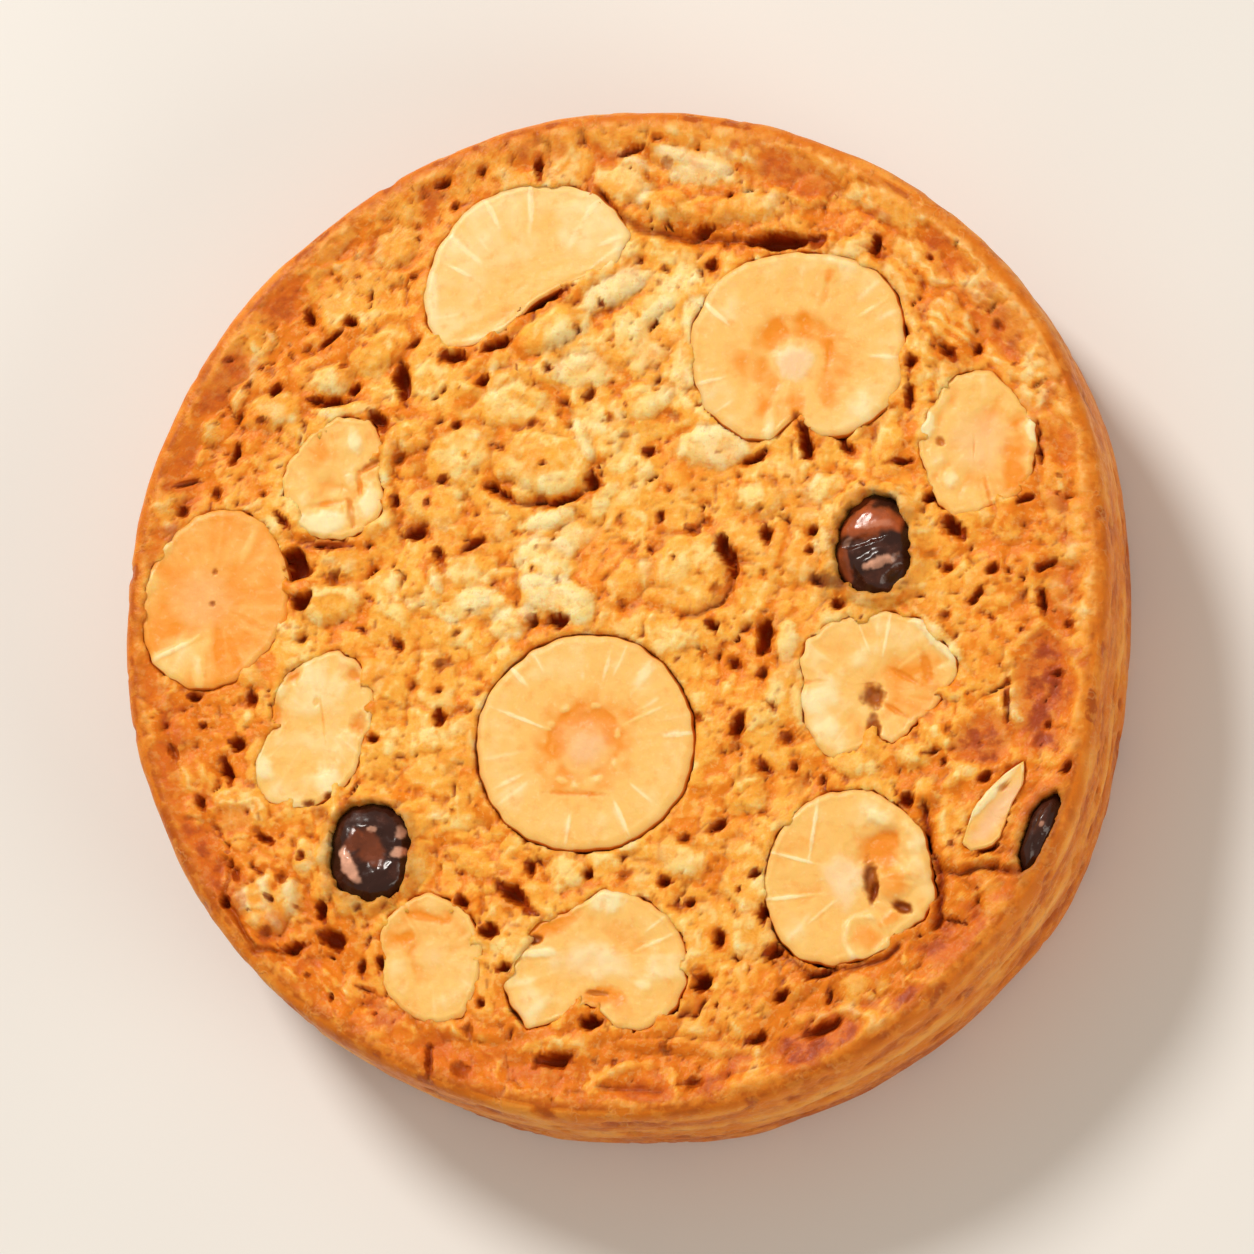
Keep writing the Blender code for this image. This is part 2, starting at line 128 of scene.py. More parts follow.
def grain(x, y, seed, period=None):
    """Smooth noise, about -1 to 1. A period makes it repeat along x."""
    column = np.floor(x).astype(np.int64)
    row = np.floor(y).astype(np.int64)
    across = x - column
    along = y - row
    fade_x = across ** 3 * (across * (across * 6 - 15) + 10)
    fade_y = along ** 3 * (along * (along * 6 - 15) + 10)
    total = 0.0
    for step_x in (0, 1):
        for step_y in (0, 1):
            place = column + step_x
            if period:
                place = place % period
            turn = hashed(place, row + step_y, seed) * TAU
            slope = np.cos(turn) * (across - step_x) + np.sin(turn) * (along - step_y)
            weight = (fade_x if step_x else 1 - fade_x) * (fade_y if step_y else 1 - fade_y)
            total = total + weight * slope
    return total * 1.5


def spots(x, y, size, seed):
    """Smooth noise whose spots are about so many millimetres wide."""
    return grain(x / size, y / size, seed)


def round_noise(angle, size, seed):
    """Smooth noise along a ring, which closes on itself."""
    return grain(size * np.cos(angle), size * np.sin(angle), seed)


def turned(x, y, turn):
    """The same points along and across a line that is turned by so many radians."""
    cosine = math.cos(turn)
    sine = math.sin(turn)
    return x * cosine + y * sine, y * cosine - x * sine


def ring_angles(count):
    return np.linspace(-math.pi, math.pi, count, endpoint=False)


def cells(x, y, seed):
    """Distances to the three nearest of scattered points, and a number for the first and the second."""
    column = np.floor(x).astype(np.int64)
    row = np.floor(y).astype(np.int64)
    near, second, third = [np.full(x.shape, FAR) for _ in range(3)]
    name, other = [np.zeros(x.shape) for _ in range(2)]
    for step_x in (-1, 0, 1):
        for step_y in (-1, 0, 1):
            place = column + step_x
            level = row + step_y
            point_x = place + 0.5 + CELL_JITTER * (hashed(place, level, seed) - 0.5)
            point_y = level + 0.5 + CELL_JITTER * (hashed(place, level, seed + 1) - 0.5)
            apart = np.hypot(x - point_x, y - point_y)
            known = hashed(place, level, seed + 2)
            first = apart < near
            middle = ~first & (apart < second)
            third = np.where(first | middle, second, np.minimum(third, apart))
            other = np.where(first, name, np.where(middle, known, other))
            second = np.where(first, near, np.where(middle, apart, second))
            name = np.where(first, known, name)
            near = np.where(first, apart, near)
    return near, second, third, name, other


# ---------------------------------------------------------------- the frame's outlines

def node_points(name):
    """The separate points of a node, in millimetres."""
    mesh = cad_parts[name].data
    flat = np.empty(len(mesh.vertices) * 3, np.float32)
    mesh.vertices.foreach_get("co", flat)
    return np.unique(np.round(flat.reshape(-1, 3).astype(float) / MM, 3), axis=0)


DIRECTIONS = np.linspace(-math.pi, math.pi, 1441)[:-1]
SOFTEN_STEPS = np.arange(-40, 41)
WIDEST_LEVEL = 6.0               # height of the biscuit's widest ring
RING_NEAR = 0.05                 # points this close to a level belong to its ring
SLOPE_STEP = 0.03                # angle over which an outline's slope is taken


def reach_table(points, middle, soften):
    """A function that gives the distance from the middle to an outline through points, corners softened."""
    away = points[:, :2] - middle
    angles = np.arctan2(away[:, 1], away[:, 0])
    order = np.argsort(angles)
    angles = angles[order]
    reaches = np.hypot(away[:, 0], away[:, 1])[order]
    following = np.searchsorted(angles, DIRECTIONS) % len(angles)
    before = following - 1
    wide = (angles[following] - angles[before]) % TAU
    on = (DIRECTIONS - angles[before]) % TAU
    line = reaches[before] * reaches[following] * np.sin(wide) / (
        reaches[before] * np.sin(on) + reaches[following] * np.sin(wide - on))
    weights = np.exp(-(SOFTEN_STEPS / (4.0 * soften)) ** 2)
    weights /= weights.sum()
    smooth = sum(weight * np.roll(line, step) for weight, step in zip(weights, SOFTEN_STEPS))
    return lambda angle: np.interp(angle, DIRECTIONS, smooth, period=TAU)


def rim_outline():
    """Distance to the wall by direction, from the solid's widest ring."""
    points = node_points("biscuit")
    ring = points[np.abs(points[:, 2] - WIDEST_LEVEL) < RING_NEAR]
    return reach_table(ring, np.zeros(2), 2.0)


def set_in_outline(name, below, soften):
    """A set-in piece's middle, top and outline, from the ring where it is widest."""
    points = node_points(name)
    middle = points[np.argmin(points[:, 2])][:2]
    top = points[:, 2].max()
    ring = points[np.abs(points[:, 2] - (top - below)) < RING_NEAR]
    return middle, top, reach_table(ring, middle, soften)


rim_reach = rim_outline()
SLICES = {
    name: set_in_outline(name, SLICE_RING_BELOW, 1.2)
    for name in sorted(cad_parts) if name.startswith("hazelnut")
}
DROPS = {
    name: set_in_outline(name, DROP_RING_BELOW, 4.0)
    for name in sorted(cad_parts) if name.startswith("chocolate")
}
SET_IN = {**SLICES, **DROPS}


# ---------------------------------------------------------------- meshes

def new_object(name, points, faces, material, layers=None):
    """A smooth mesh from points in millimetres, with a number at each point for each named layer."""
    mesh = bpy.data.meshes.new(name)
    mesh.from_pydata((np.asarray(points) * MM).tolist(), [], faces)
    mesh.polygons.foreach_set("use_smooth", [True] * len(mesh.polygons))
    for layer, values in (layers or {}).items():
        attribute = mesh.attributes.new(layer, 'FLOAT', 'POINT')
        attribute.data.foreach_set("value", np.asarray(values, np.float32))
    mesh.materials.append(material)
    mesh.update()
    obj = bpy.data.objects.new(name, mesh)
    bpy.context.scene.collection.objects.link(obj)
    return obj


def disc_grid(count):
    """A square grid drawn out to a disc of radius 1: its points, its faces and its edge in order."""
    line = np.linspace(-1.0, 1.0, count + 1)
    along, across = np.meshgrid(line, line, indexing="ij")
    x = across * np.sqrt(1.0 - along ** 2 / 2.0)
    y = along * np.sqrt(1.0 - across ** 2 / 2.0)
    index = np.arange((count + 1) ** 2).reshape(count + 1, count + 1)
    corners = (index[:-1, :-1], index[:-1, 1:], index[1:, 1:], index[1:, :-1])
    faces = np.stack([corner.ravel() for corner in corners], axis=1)
    edge = np.concatenate((index[0, :-1], index[:-1, -1], index[-1, :0:-1], index[:0:-1, 0]))
    return x.ravel(), y.ravel(), faces, edge


def ring_faces(upper, lower):
    """Quads between two rings of as many points."""
    following = np.roll(np.arange(len(upper)), -1)
    return np.stack((lower, lower[following], upper[following], upper), axis=1).tolist()


def halving_faces(outer, inner):
    """Triangles from a ring to a ring of half as many points inside it."""
    faces = []
    total = len(outer)
    for place, point in enumerate(inner):
        following = inner[(place + 1) % len(inner)]
        first = outer[2 * place]
        middle = outer[2 * place + 1]
        last = outer[(2 * place + 2) % total]
        faces += [(first, point, middle), (middle, following, last), (middle, point, following)]
    return faces


# ---------------------------------------------------------------- the dough's top

# Crevices and larger pores: middle, half length, half width, turn (degrees), depth
CREVICES = (
    (9.75, 22.15, 2.5, 0.5, -2, 1.9), (11.45, 9.9, 0.42, 1.15, 8, 1.7), (5.0, 22.9, 0.7, 0.35, 10, 1.0),
    (15.5, 21.7, 0.35, 0.8, -10, 1.1), (5.6, 20.8, 0.45, 0.4, 0, 0.9), (2.8, 20.6, 0.3, 0.25, 0, 0.6),
    (0.7, 27.9, 0.85, 0.25, 20, 0.7), (-4.9, 26.9, 0.3, 0.8, 0, 0.9), (2.2, 28.6, 0.4, 0.2, 0, 0.4),
    (-0.8, 25.0, 0.8, 0.2, -50, 0.8), (-4.7, 18.85, 1.9, 0.42, 27, 1.6), (-7.3, 16.2, 1.0, 0.35, 22, 1.2),
    (-9.8, 15.6, 0.85, 0.45, 0, 1.3), (-8.0, 14.0, 0.45, 0.3, 35, 0.9),
    (-12.95, 14.2, 0.5, 1.35, 10, 1.5), (-14.3, 11.8, 0.85, 0.45, -45, 1.2),
    (-9.6, 11.3, 0.32, 0.3, 0, 0.9), (-7.0, 10.0, 0.5, 0.18, -20, 0.6), (-3.1, 12.7, 0.5, 0.25, -30, 0.6),
    (-7.3, 7.6, 0.5, 0.3, -30, 1.0), (-6.5, 7.2, 0.6, 0.22, -30, 0.9), (-13.2, 6.9, 0.3, 0.5, 0, 0.9),
    (-1.3, 7.8, 0.45, 0.6, 20, 1.2), (-3.1, 6.7, 0.9, 0.28, 15, 1.0), (-4.4, 6.7, 0.4, 0.2, 0, 0.8),
    (-11.9, 4.9, 0.8, 0.45, 5, 1.1), (-8.3, 4.2, 0.9, 0.3, 25, 1.0), (-10.5, 3.6, 0.35, 0.5, 15, 0.9),
    (-17.2, 4.2, 1.4, 0.2, 0, 0.9), (-16.8, 2.3, 0.4, 0.5, 0, 0.5), (-19.15, 3.2, 1.15, 0.75, -66, 1.9),
    (-18.7, 0.9, 0.75, 0.5, 30, 1.4), (-20.0, 5.8, 0.7, 0.3, -45, 1.0), (-24.2, 7.6, 0.3, 0.5, 0, 0.8),
    (-26.2, 6.6, 0.5, 0.35, 40, 0.8), (-26.0, 8.3, 0.8, 0.2, 15, 0.6),
    (-23.1, 10.0, 0.28, 0.75, -15, 0.9), (-20.7, 13.8, 0.55, 0.35, 40, 0.9),
    (-22.4, 14.2, 0.3, 0.2, 40, 0.5), (-18.8, 18.2, 0.35, 0.5, 10, 1.0),
    (-16.2, 17.9, 0.5, 0.35, -30, 1.0), (-17.4, 16.9, 1.0, 0.2, 35, 0.9), (-18.3, 13.2, 0.6, 0.3, 0, 0.9),
    (-17.2, 13.0, 1.2, 0.33, 5, 1.1), (-15.9, 13.7, 0.5, 0.3, 50, 1.0), (-21.4, 12.0, 0.35, 0.25, 0, 0.5),
    (-12.3, 16.5, 0.5, 0.22, 35, 0.7), (-12.4, 20.6, 0.3, 0.25, 0, 0.5), (-10.7, 26.2, 0.6, 0.3, 10, 0.8),
    (-10.0, 24.8, 0.25, 0.3, 0, 0.6), (-23.6, 15.7, 0.3, 0.2, 0, 0.4), (-24.0, 17.0, 0.2, 0.2, 0, 0.4),
    (-25.2, -4.7, 0.5, 0.35, 0, 0.9), (-21.6, -4.9, 0.45, 0.5, 0, 0.9), (-22.4, -7.6, 0.5, 0.55, 0, 1.0),
    (-23.0, -9.2, 0.3, 1.0, 20, 1.1), (-24.6, -11.1, 0.3, 0.55, 25, 0.8),
    (-26.3, -8.0, 0.3, 0.6, 20, 0.6), (-20.6, -13.3, 0.7, 0.32, -25, 0.9),
    (-22.3, -15.4, 0.25, 0.6, 20, 0.8), (-22.8, -17.1, 0.35, 0.45, 20, 0.8),
    (-17.0, -17.7, 0.38, 0.7, 10, 1.2), (-18.7, -19.8, 0.8, 0.35, 15, 1.0),
    (-16.3, -19.4, 0.9, 0.6, -30, 1.3), (-14.6, -21.0, 0.3, 0.5, -20, 0.8),
    (-13.4, -20.8, 0.22, 0.6, 0, 0.9), (-14.4, -22.3, 0.6, 0.15, -20, 0.6),
    (-14.2, -7.4, 0.4, 0.35, 0, 0.9), (-12.5, -8.5, 0.3, 0.2, 0, 0.6), (-15.2, -10.4, 0.7, 0.15, 60, 0.7),
    (-10.2, -6.3, 0.35, 0.6, 10, 1.1), (-12.8, -1.8, 0.5, 0.3, -50, 0.8), (-9.3, -1.2, 0.4, 0.2, 30, 0.5),
    (-8.6, -17.2, 0.55, 0.38, -30, 1.1), (-5.5, -16.9, 1.4, 0.5, -38, 1.5),
    (-6.9, -19.0, 0.6, 0.5, 0, 1.3), (-5.9, -21.2, 0.5, 0.35, 0, 1.0), (-7.3, -23.3, 0.3, 0.35, 0, 0.8),
    (-10.3, -26.6, 0.25, 1.3, 5, 0.6), (-8.4, -27.2, 0.7, 0.5, -20, 0.4), (-2.9, -26.7, 1.2, 0.5, 8, 1.1),
    (-0.75, -24.5, 0.7, 0.48, 0, 1.5), (-3.1, -0.6, 0.65, 0.5, 0, 1.3), (-4.7, -0.5, 0.4, 0.4, 0, 0.7),
    (-1.1, -15.7, 0.35, 0.35, 0, 1.0), (-4.6, -15.2, 0.3, 0.5, 0, 0.9), (2.0, 9.5, 0.4, 0.38, 0, 0.9),
    (2.8, 5.6, 0.25, 0.45, 0, 0.9), (6.75, 3.5, 0.52, 1.2, 26, 1.8), (7.3, 2.5, 0.35, 0.7, 10, 1.4),
    (6.1, -1.0, 0.45, 0.4, 0, 1.2), (9.2, 4.4, 0.38, 0.6, 10, 1.1), (12.0, 4.6, 0.34, 0.38, 0, 1.0),
    (11.8, 3.4, 0.3, 0.28, 0, 0.8), (9.2, -1.7, 0.5, 1.2, 0, 1.5), (7.4, -3.3, 0.4, 0.4, 0, 0.9),
    (7.7, -7.1, 0.4, 0.8, -15, 1.3), (9.3, -9.5, 0.6, 0.32, -40, 1.0), (8.5, 9.1, 0.9, 0.28, 25, 0.9),
    (6.7, -12.9, 0.65, 0.3, 35, 1.0), (4.7, -13.7, 0.3, 0.28, 0, 0.7), (3.5, -16.2, 0.42, 0.38, 0, 1.1),
    (5.0, -17.5, 0.36, 0.3, 30, 0.9), (6.8, -19.6, 0.4, 0.6, 10, 1.2), (5.85, -22.2, 0.58, 0.58, 0, 1.6),
    (10.5, -23.0, 0.5, 0.38, 20, 1.1), (9.1, -25.5, 0.75, 0.35, 20, 1.0),
    (13.0, -25.0, 1.3, 0.4, 22, 0.9), (5.4, -28.0, 0.8, 0.35, 10, 0.6), (12.7, -21.8, 0.9, 0.25, 10, 0.9),
    (13.3, -23.0, 0.2, 0.6, 0, 0.8), (8.9, -15.8, 0.45, 0.3, 20, 0.9), (9.4, -18.2, 0.32, 0.6, 0, 1.1),
    (10.1, -20.4, 0.65, 0.42, 30, 1.2), (12.8, -10.4, 0.2, 0.5, 0, 0.8),
    (17.8, -11.6, 0.45, 0.55, 20, 1.1), (19.2, -8.8, 0.5, 0.2, 15, 0.7), (19.9, -9.4, 0.3, 0.28, 0, 0.8),
    (18.2, -7.0, 0.28, 0.28, 0, 0.7), (23.6, -6.0, 0.2, 1.4, 3, 0.8), (20.9, -13.6, 0.2, 0.16, 0, 0.4),
    (20.4, -14.2, 0.22, 0.18, 0, 0.5), (26.5, -4.2, 0.5, 0.28, 0, 0.6), (21.7, 0.4, 0.8, 0.25, 55, 0.8),
    (25.6, 0.1, 0.25, 1.1, 8, 1.0), (22.7, 2.0, 0.42, 0.4, 0, 0.9), (20.0, 2.2, 0.45, 0.28, 10, 0.8),
    (25.6, 2.1, 0.5, 0.3, 15, 0.9), (20.3, 4.6, 1.0, 0.48, -45, 1.5), (18.9, 6.4, 0.38, 0.4, 0, 1.1),
    (17.2, 8.6, 0.8, 0.25, 5, 1.0), (13.9, 9.6, 0.7, 0.32, -45, 1.1), (24.6, 6.2, 0.5, 0.3, 20, 0.9),
    (25.4, 8.8, 0.22, 0.6, 5, 0.9), (17.7, 14.5, 0.4, 0.5, 0, 1.0), (17.6, 12.6, 0.3, 0.9, 0, 0.9),
    (20.0, 15.0, 0.7, 0.35, -40, 1.1), (21.6, 15.2, 0.3, 0.35, 0, 0.8), (17.3, 16.5, 0.25, 0.6, 10, 0.9),
    (13.5, 0.1, 0.5, 0.35, 0, 1.0), (12.3, 1.5, 0.6, 0.3, -30, 0.8), (20.6, -18.7, 1.1, 0.14, -15, 0.6),
    (22.4, -10.3, 0.6, 0.3, 35, 0.9), (27.2, -9.8, 0.5, 0.3, 60, 0.8), (22.6, -14.5, 0.8, 0.3, 10, 0.7),
    (15.2, 13.4, 0.2, 0.3, 0, 0.5),
)

# Clefts that wind: points, half width, depth
CLEFTS = (
    (((18.7, -11.9), (19.0, -13.2), (19.1, -14.5), (19.8, -15.7), (19.8, -17.5), (19.6, -19.0)),
     0.22, 1.0),
    (((19.8, -15.7), (21.0, -15.95), (22.8, -15.5), (24.4, -16.0)), 0.18, 0.6),
    (((17.4, -20.2), (16.5, -21.0), (14.0, -21.5), (12.2, -21.8)), 0.18, 0.7),
    (((7.3, 1.8), (6.7, 0.6), (5.6, -0.2), (4.2, -0.4)), 0.16, 0.4),
    (((-7.6, 7.7), (-6.0, 6.7), (-4.4, 6.5), (-2.6, 6.8), (-1.4, 7.5)), 0.17, 0.5),
    (((-1.3, 25.4), (-0.2, 24.0), (1.6, 23.0), (4.0, 22.5), (7.2, 22.3)), 0.22, 0.6),
    (((-22.6, -14.6), (-22.9, -17.0), (-21.0, -19.9), (-18.4, -20.2)), 0.16, 0.4),
    (((-0.2, -28.2), (1.5, -28.4), (3.5, -28.6)), 0.16, 0.3), (((10.2, -20.4), (12.0, -21.6)), 0.15, 0.6),
    (((-18.9, 4.6), (-17.4, 4.35), (-16.2, 4.5)), 0.2, 0.7),
)

# Ridges that wind: points, half width, height, paleness
RIDGES = (
    (((-0.8, -29.0), (0.0, -27.8), (1.0, -27.1), (2.6, -26.8), (4.0, -27.3), (4.6, -28.4)),
     0.3, 0.3, 0.9),
    (((-0.5, -29.1), (0.6, -29.5), (2.4, -29.6), (4.4, -29.2)), 0.25, 0.12, 0.9),
    (((-5.0, -26.0), (-3.2, -25.4), (-1.2, -25.9)), 0.35, 0.2, 0.4),
    (
        (
            (21.4, -9.8), (20.2, -10.8), (19.75, -12.2), (19.7, -13.7), (20.2, -14.9), (21.2, -15.35),
            (22.5, -15.0),
        ),
        0.3, 0.22, 0.5,
    ),
    (((1.0, 28.6), (3.5, 27.6), (6.5, 26.4)), 0.22, 0.14, 0.9),
    (((3.0, 29.0), (5.5, 28.0), (8.5, 26.8)), 0.22, 0.12, 0.5),
    (((-1.4, 28.6), (0.6, 27.4), (3.2, 26.4)), 0.25, 0.14, 0.7),
    (((19.3, 18.3), (21.0, 17.1)), 0.16, 0.16, 0.9), (((19.6, 17.7), (21.3, 16.4)), 0.16, 0.16, 0.7),
    (((19.0, 17.4), (20.9, 15.9)), 0.16, 0.16, 0.9), (((18.7, 16.8), (20.4, 15.4)), 0.16, 0.14, 0.5),
    (((-21.6, -16.2), (-21.3, -17.4), (-20.8, -18.4)), 0.3, 0.26, 0.9),
    (((-20.6, -15.9), (-20.2, -17.2), (-19.9, -18.5)), 0.32, 0.3, 1.1),
    (((-19.1, -16.2), (-18.9, -17.2), (-18.6, -18.0)), 0.32, 0.26, 0.9),
    (((-23.2, -18.2), (-22.3, -18.7), (-21.3, -19.5)), 0.32, 0.28, 0.9),
    (((-18.0, -20.4), (-17.2, -21.4), (-16.2, -22.8)), 0.17, 0.18, 1.0),
    (((-17.3, -20.6), (-16.4, -21.6), (-15.4, -22.6)), 0.16, 0.16, 0.9),
    (((-18.8, -21.2), (-18.1, -22.2), (-17.6, -23.2)), 0.18, 0.16, 0.7),
    (((24.0, -2.2), (25.6, -1.5), (27.0, -2.4), (27.9, -4.4), (27.8, -7.0)), 0.26, 0.14, 0.1),
    (((25.0, 2.4), (25.1, 0.4), (25.9, -0.9)), 0.24, 0.14, 0.2),
    (((23.8, -3.4), (23.9, -5.4), (24.2, -7.4)), 0.24, 0.12, 0.1),
    (((11.5, -24.5), (13.5, -23.8), (15.5, -24.2), (16.2, -25.2)), 0.28, 0.2, 0.5),
    (((16.6, -22.4), (18.6, -21.9), (20.0, -20.9)), 0.26, 0.14, 0.1),
    (((22.0, 9.0), (25.6, 11.2), (25.4, 13.4)), 0.2, 0.08, 0.1),
    (((22.2, 17.4), (22.4, 15.2), (23.8, 13.6)), 0.26, 0.14, 0.1),
    (((-24.6, -5.8), (-24.4, -8.4), (-23.6, -11.2)), 0.3, 0.12, 0.0),
    (((-21.2, 17.0), (-22.4, 14.6), (-23.6, 12.6)), 0.3, 0.12, 0.0),
    (((19.0, -4.6), (20.6, -5.6), (21.4, -7.0)), 0.24, 0.12, 0.2),
)

# Flakes and smooth clods: middle, half length, half width, turn, height, paleness (-1 orange to 1 cream)
CLODS = (
    (6.0, 9.7, 2.1, 1.25, 4, 0.36, 1.0), (-4.1, 3.0, 1.8, 1.5, 20, 0.26, 1.1),
    (-3.2, 0.6, 2.4, 1.4, -12, 0.3, 1.3), (-7.6, 0.6, 1.6, 0.9, -15, 0.26, 1.3),
    (-6.0, -0.6, 1.3, 0.9, 10, 0.24, 1.2), (-2.4, 4.6, 1.2, 0.8, 30, 0.2, 0.7),
    (12.5, 3.8, 0.6, 0.7, 0, 0.26, 1.3), (-4.2, 9.0, 2.9, 1.9, -12, 0.34, 0.15),
    (-1.9, 10.4, 0.35, 1.5, 28, 0.4, 1.1), (-3.8, 5.6, 1.5, 0.6, 10, 0.26, 0.8),
    (0.0, 19.5, 1.8, 0.95, 25, 0.36, 1.1), (-4.0, 17.0, 3.3, 1.0, 27, 0.42, -0.1),
    (-0.6, 19.2, 1.9, 0.8, 27, 0.3, 0.5), (-7.6, 15.4, 1.2, 0.7, 15, 0.32, 0.0),
    (-2.3, -15.6, 1.2, 0.95, 0, 0.32, 0.9), (10.5, -1.9, 0.6, 1.2, 0, 0.34, 1.1),
    (4.5, 2.2, 2.6, 2.4, 0, 0.26, 0.2), (3.2, 0.6, 1.3, 0.6, -20, 0.2, -0.3),
    (-20.2, -17.2, 2.2, 1.6, 20, 0.42, 1.0), (-18.2, -14.4, 0.5, 1.3, -5, 0.36, 0.8),
    (-17.0, -16.4, 0.7, 0.8, 0, 0.3, 0.5), (-22.3, -16.4, 0.6, 1.4, 20, 0.34, 0.45),
    (2.0, -28.2, 2.7, 1.25, -4, 0.22, 0.1), (4.6, 26.9, 2.4, 1.0, -12, 0.24, 0.9),
    (0.3, 25.8, 1.7, 1.0, -20, 0.4, 0.5), (2.8, 24.6, 1.6, 0.9, -14, 0.46, 0.4),
    (5.4, 24.1, 1.6, 0.9, -5, 0.46, 0.3), (8.0, 24.3, 1.8, 0.9, 0, 0.42, 0.1),
    (9.4, 27.0, 1.6, 1.0, -14, 0.22, -0.3), (11.4, 25.2, 1.2, 1.0, 0, 0.28, -0.3),
    (16.0, 24.1, 2.2, 0.8, -28, 0.3, 0.7), (18.2, 20.6, 1.9, 1.0, -40, 0.26, 0.6),
    (14.0, 21.6, 1.2, 0.7, 24, 0.36, 0.8), (17.1, 19.6, 1.4, 0.7, -48, 0.34, 0.1),
    (20.7, 15.4, 0.8, 1.1, -35, 0.24, -0.5), (20.0, 16.9, 1.7, 1.2, -42, 0.14, 0.3),
    (-17.2, 14.4, 1.3, 0.9, 18, 0.4, 1.0), (-16.5, 12.6, 1.7, 0.45, 2, 0.34, 0.9),
    (-21.0, 12.6, 1.8, 1.0, 10, 0.3, 0.4), (-14.3, 16.1, 2.0, 1.1, 30, 0.34, 0.3),
    (-13.7, 9.6, 0.4, 1.7, -8, 0.32, 0.8), (-13.5, 22.4, 1.4, 1.1, 30, 0.28, 0.5),
    (-17.3, 22.8, 1.2, 0.7, 40, 0.26, 0.8), (-9.6, 9.6, 2.2, 1.3, 30, 0.24, 0.3),
    (-10.6, 6.6, 1.6, 1.2, 0, 0.2, 0.3), (-9.4, 1.2, 2.2, 1.4, 10, 0.2, 0.3),
    (-6.4, 12.6, 2.2, 1.2, 10, 0.2, 0.4), (-14.3, 5.7, 1.0, 0.7, 20, 0.26, 0.5),
    (-16.9, 0.7, 1.8, 1.1, 15, 0.26, 0.6), (-10.6, 2.1, 0.34, 0.95, 22, 0.34, 1.5),
    (-8.5, 2.6, 1.5, 0.9, 0, 0.26, 0.4), (1.0, 1.8, 1.4, 1.1, 40, 0.18, 0.4),
    (-12.5, 10.9, 1.2, 0.9, -30, 0.24, 0.3), (8.5, -16.0, 1.5, 2.0, 15, 0.22, 0.1),
    (20.5, -12.9, 0.7, 1.6, 0, 0.16, 0.2), (18.8, -11.3, 0.8, 0.9, 0, 0.32, 0.6),
    (22.6, -16.9, 1.6, 0.8, -60, 0.24, 0.3), (20.9, -17.6, 0.9, 1.4, 10, 0.24, 0.1),
    (15.3, -22.5, 1.7, 0.9, 20, 0.32, 0.7), (11.5, -22.4, 1.2, 0.7, 30, 0.28, 0.2),
    (18.1, -20.6, 0.7, 0.8, 0, 0.26, 0.7), (20.0, 12.8, 0.7, 1.7, 10, 0.24, 0.4),
    (26.1, 7.2, 0.7, 2.2, 8, 0.28, 0.2), (11.6, -5.6, 0.7, 1.4, 0, 0.22, 0.5),
    (19.6, -2.0, 2.1, 0.42, -47, 0.34, 1.1), (18.2, -9.0, 1.0, 0.7, 0, 0.26, 0.6),
    (14.6, -9.4, 1.4, 0.7, -10, 0.28, 0.8), (-18.4, -21.8, 1.2, 1.6, 25, 0.2, 0.2),
    (-13.0, -24.5, 2.0, 0.8, -20, 0.24, -0.1), (9.0, -28.0, 3.0, 0.6, 12, 0.22, 0.0),
    (5.0, -25.9, 4.4, 0.45, -3, 0.24, 0.1), (-8.0, -14.8, 1.7, 0.6, -30, 0.26, 0.2),
    (-7.9, -24.9, 2.2, 0.5, -12, 0.24, 0.0), (16.4, 9.6, 0.8, 1.8, -10, 0.2, 0.4),
    (23.6, 5.0, 0.8, 1.4, 0, 0.2, 0.4), (-22.4, -2.9, 1.5, 0.8, -40, 0.24, 0.3),
    (-11.9, -12.4, 1.8, 1.1, 30, 0.2, 0.2), (-10.4, -4.1, 1.2, 1.7, 10, 0.2, 0.4),
    (4.6, -14.9, 1.5, 0.8, -30, 0.2, 0.4), (8.2, -11.2, 1.2, 1.0, 30, 0.2, 0.3),
    (1.6, 12.6, 1.6, 1.0, 20, 0.2, 0.6), (-1.8, 14.6, 1.7, 0.9, -10, 0.2, 0.6),
    (5.0, 17.2, 0.9, 1.6, 10, 0.2, 0.7), (8.8, 6.6, 1.3, 0.9, 0, 0.2, 0.5),
    (12.6, 7.2, 1.1, 0.7, 30, 0.22, 0.6), (11.4, 3.0, 1.0, 1.3, 0, 0.2, 0.4),
    (-20.8, -8.8, 1.0, 1.5, 10, 0.2, 0.1), (-25.8, -6.6, 1.0, 1.2, 10, 0.24, 0.2),
)

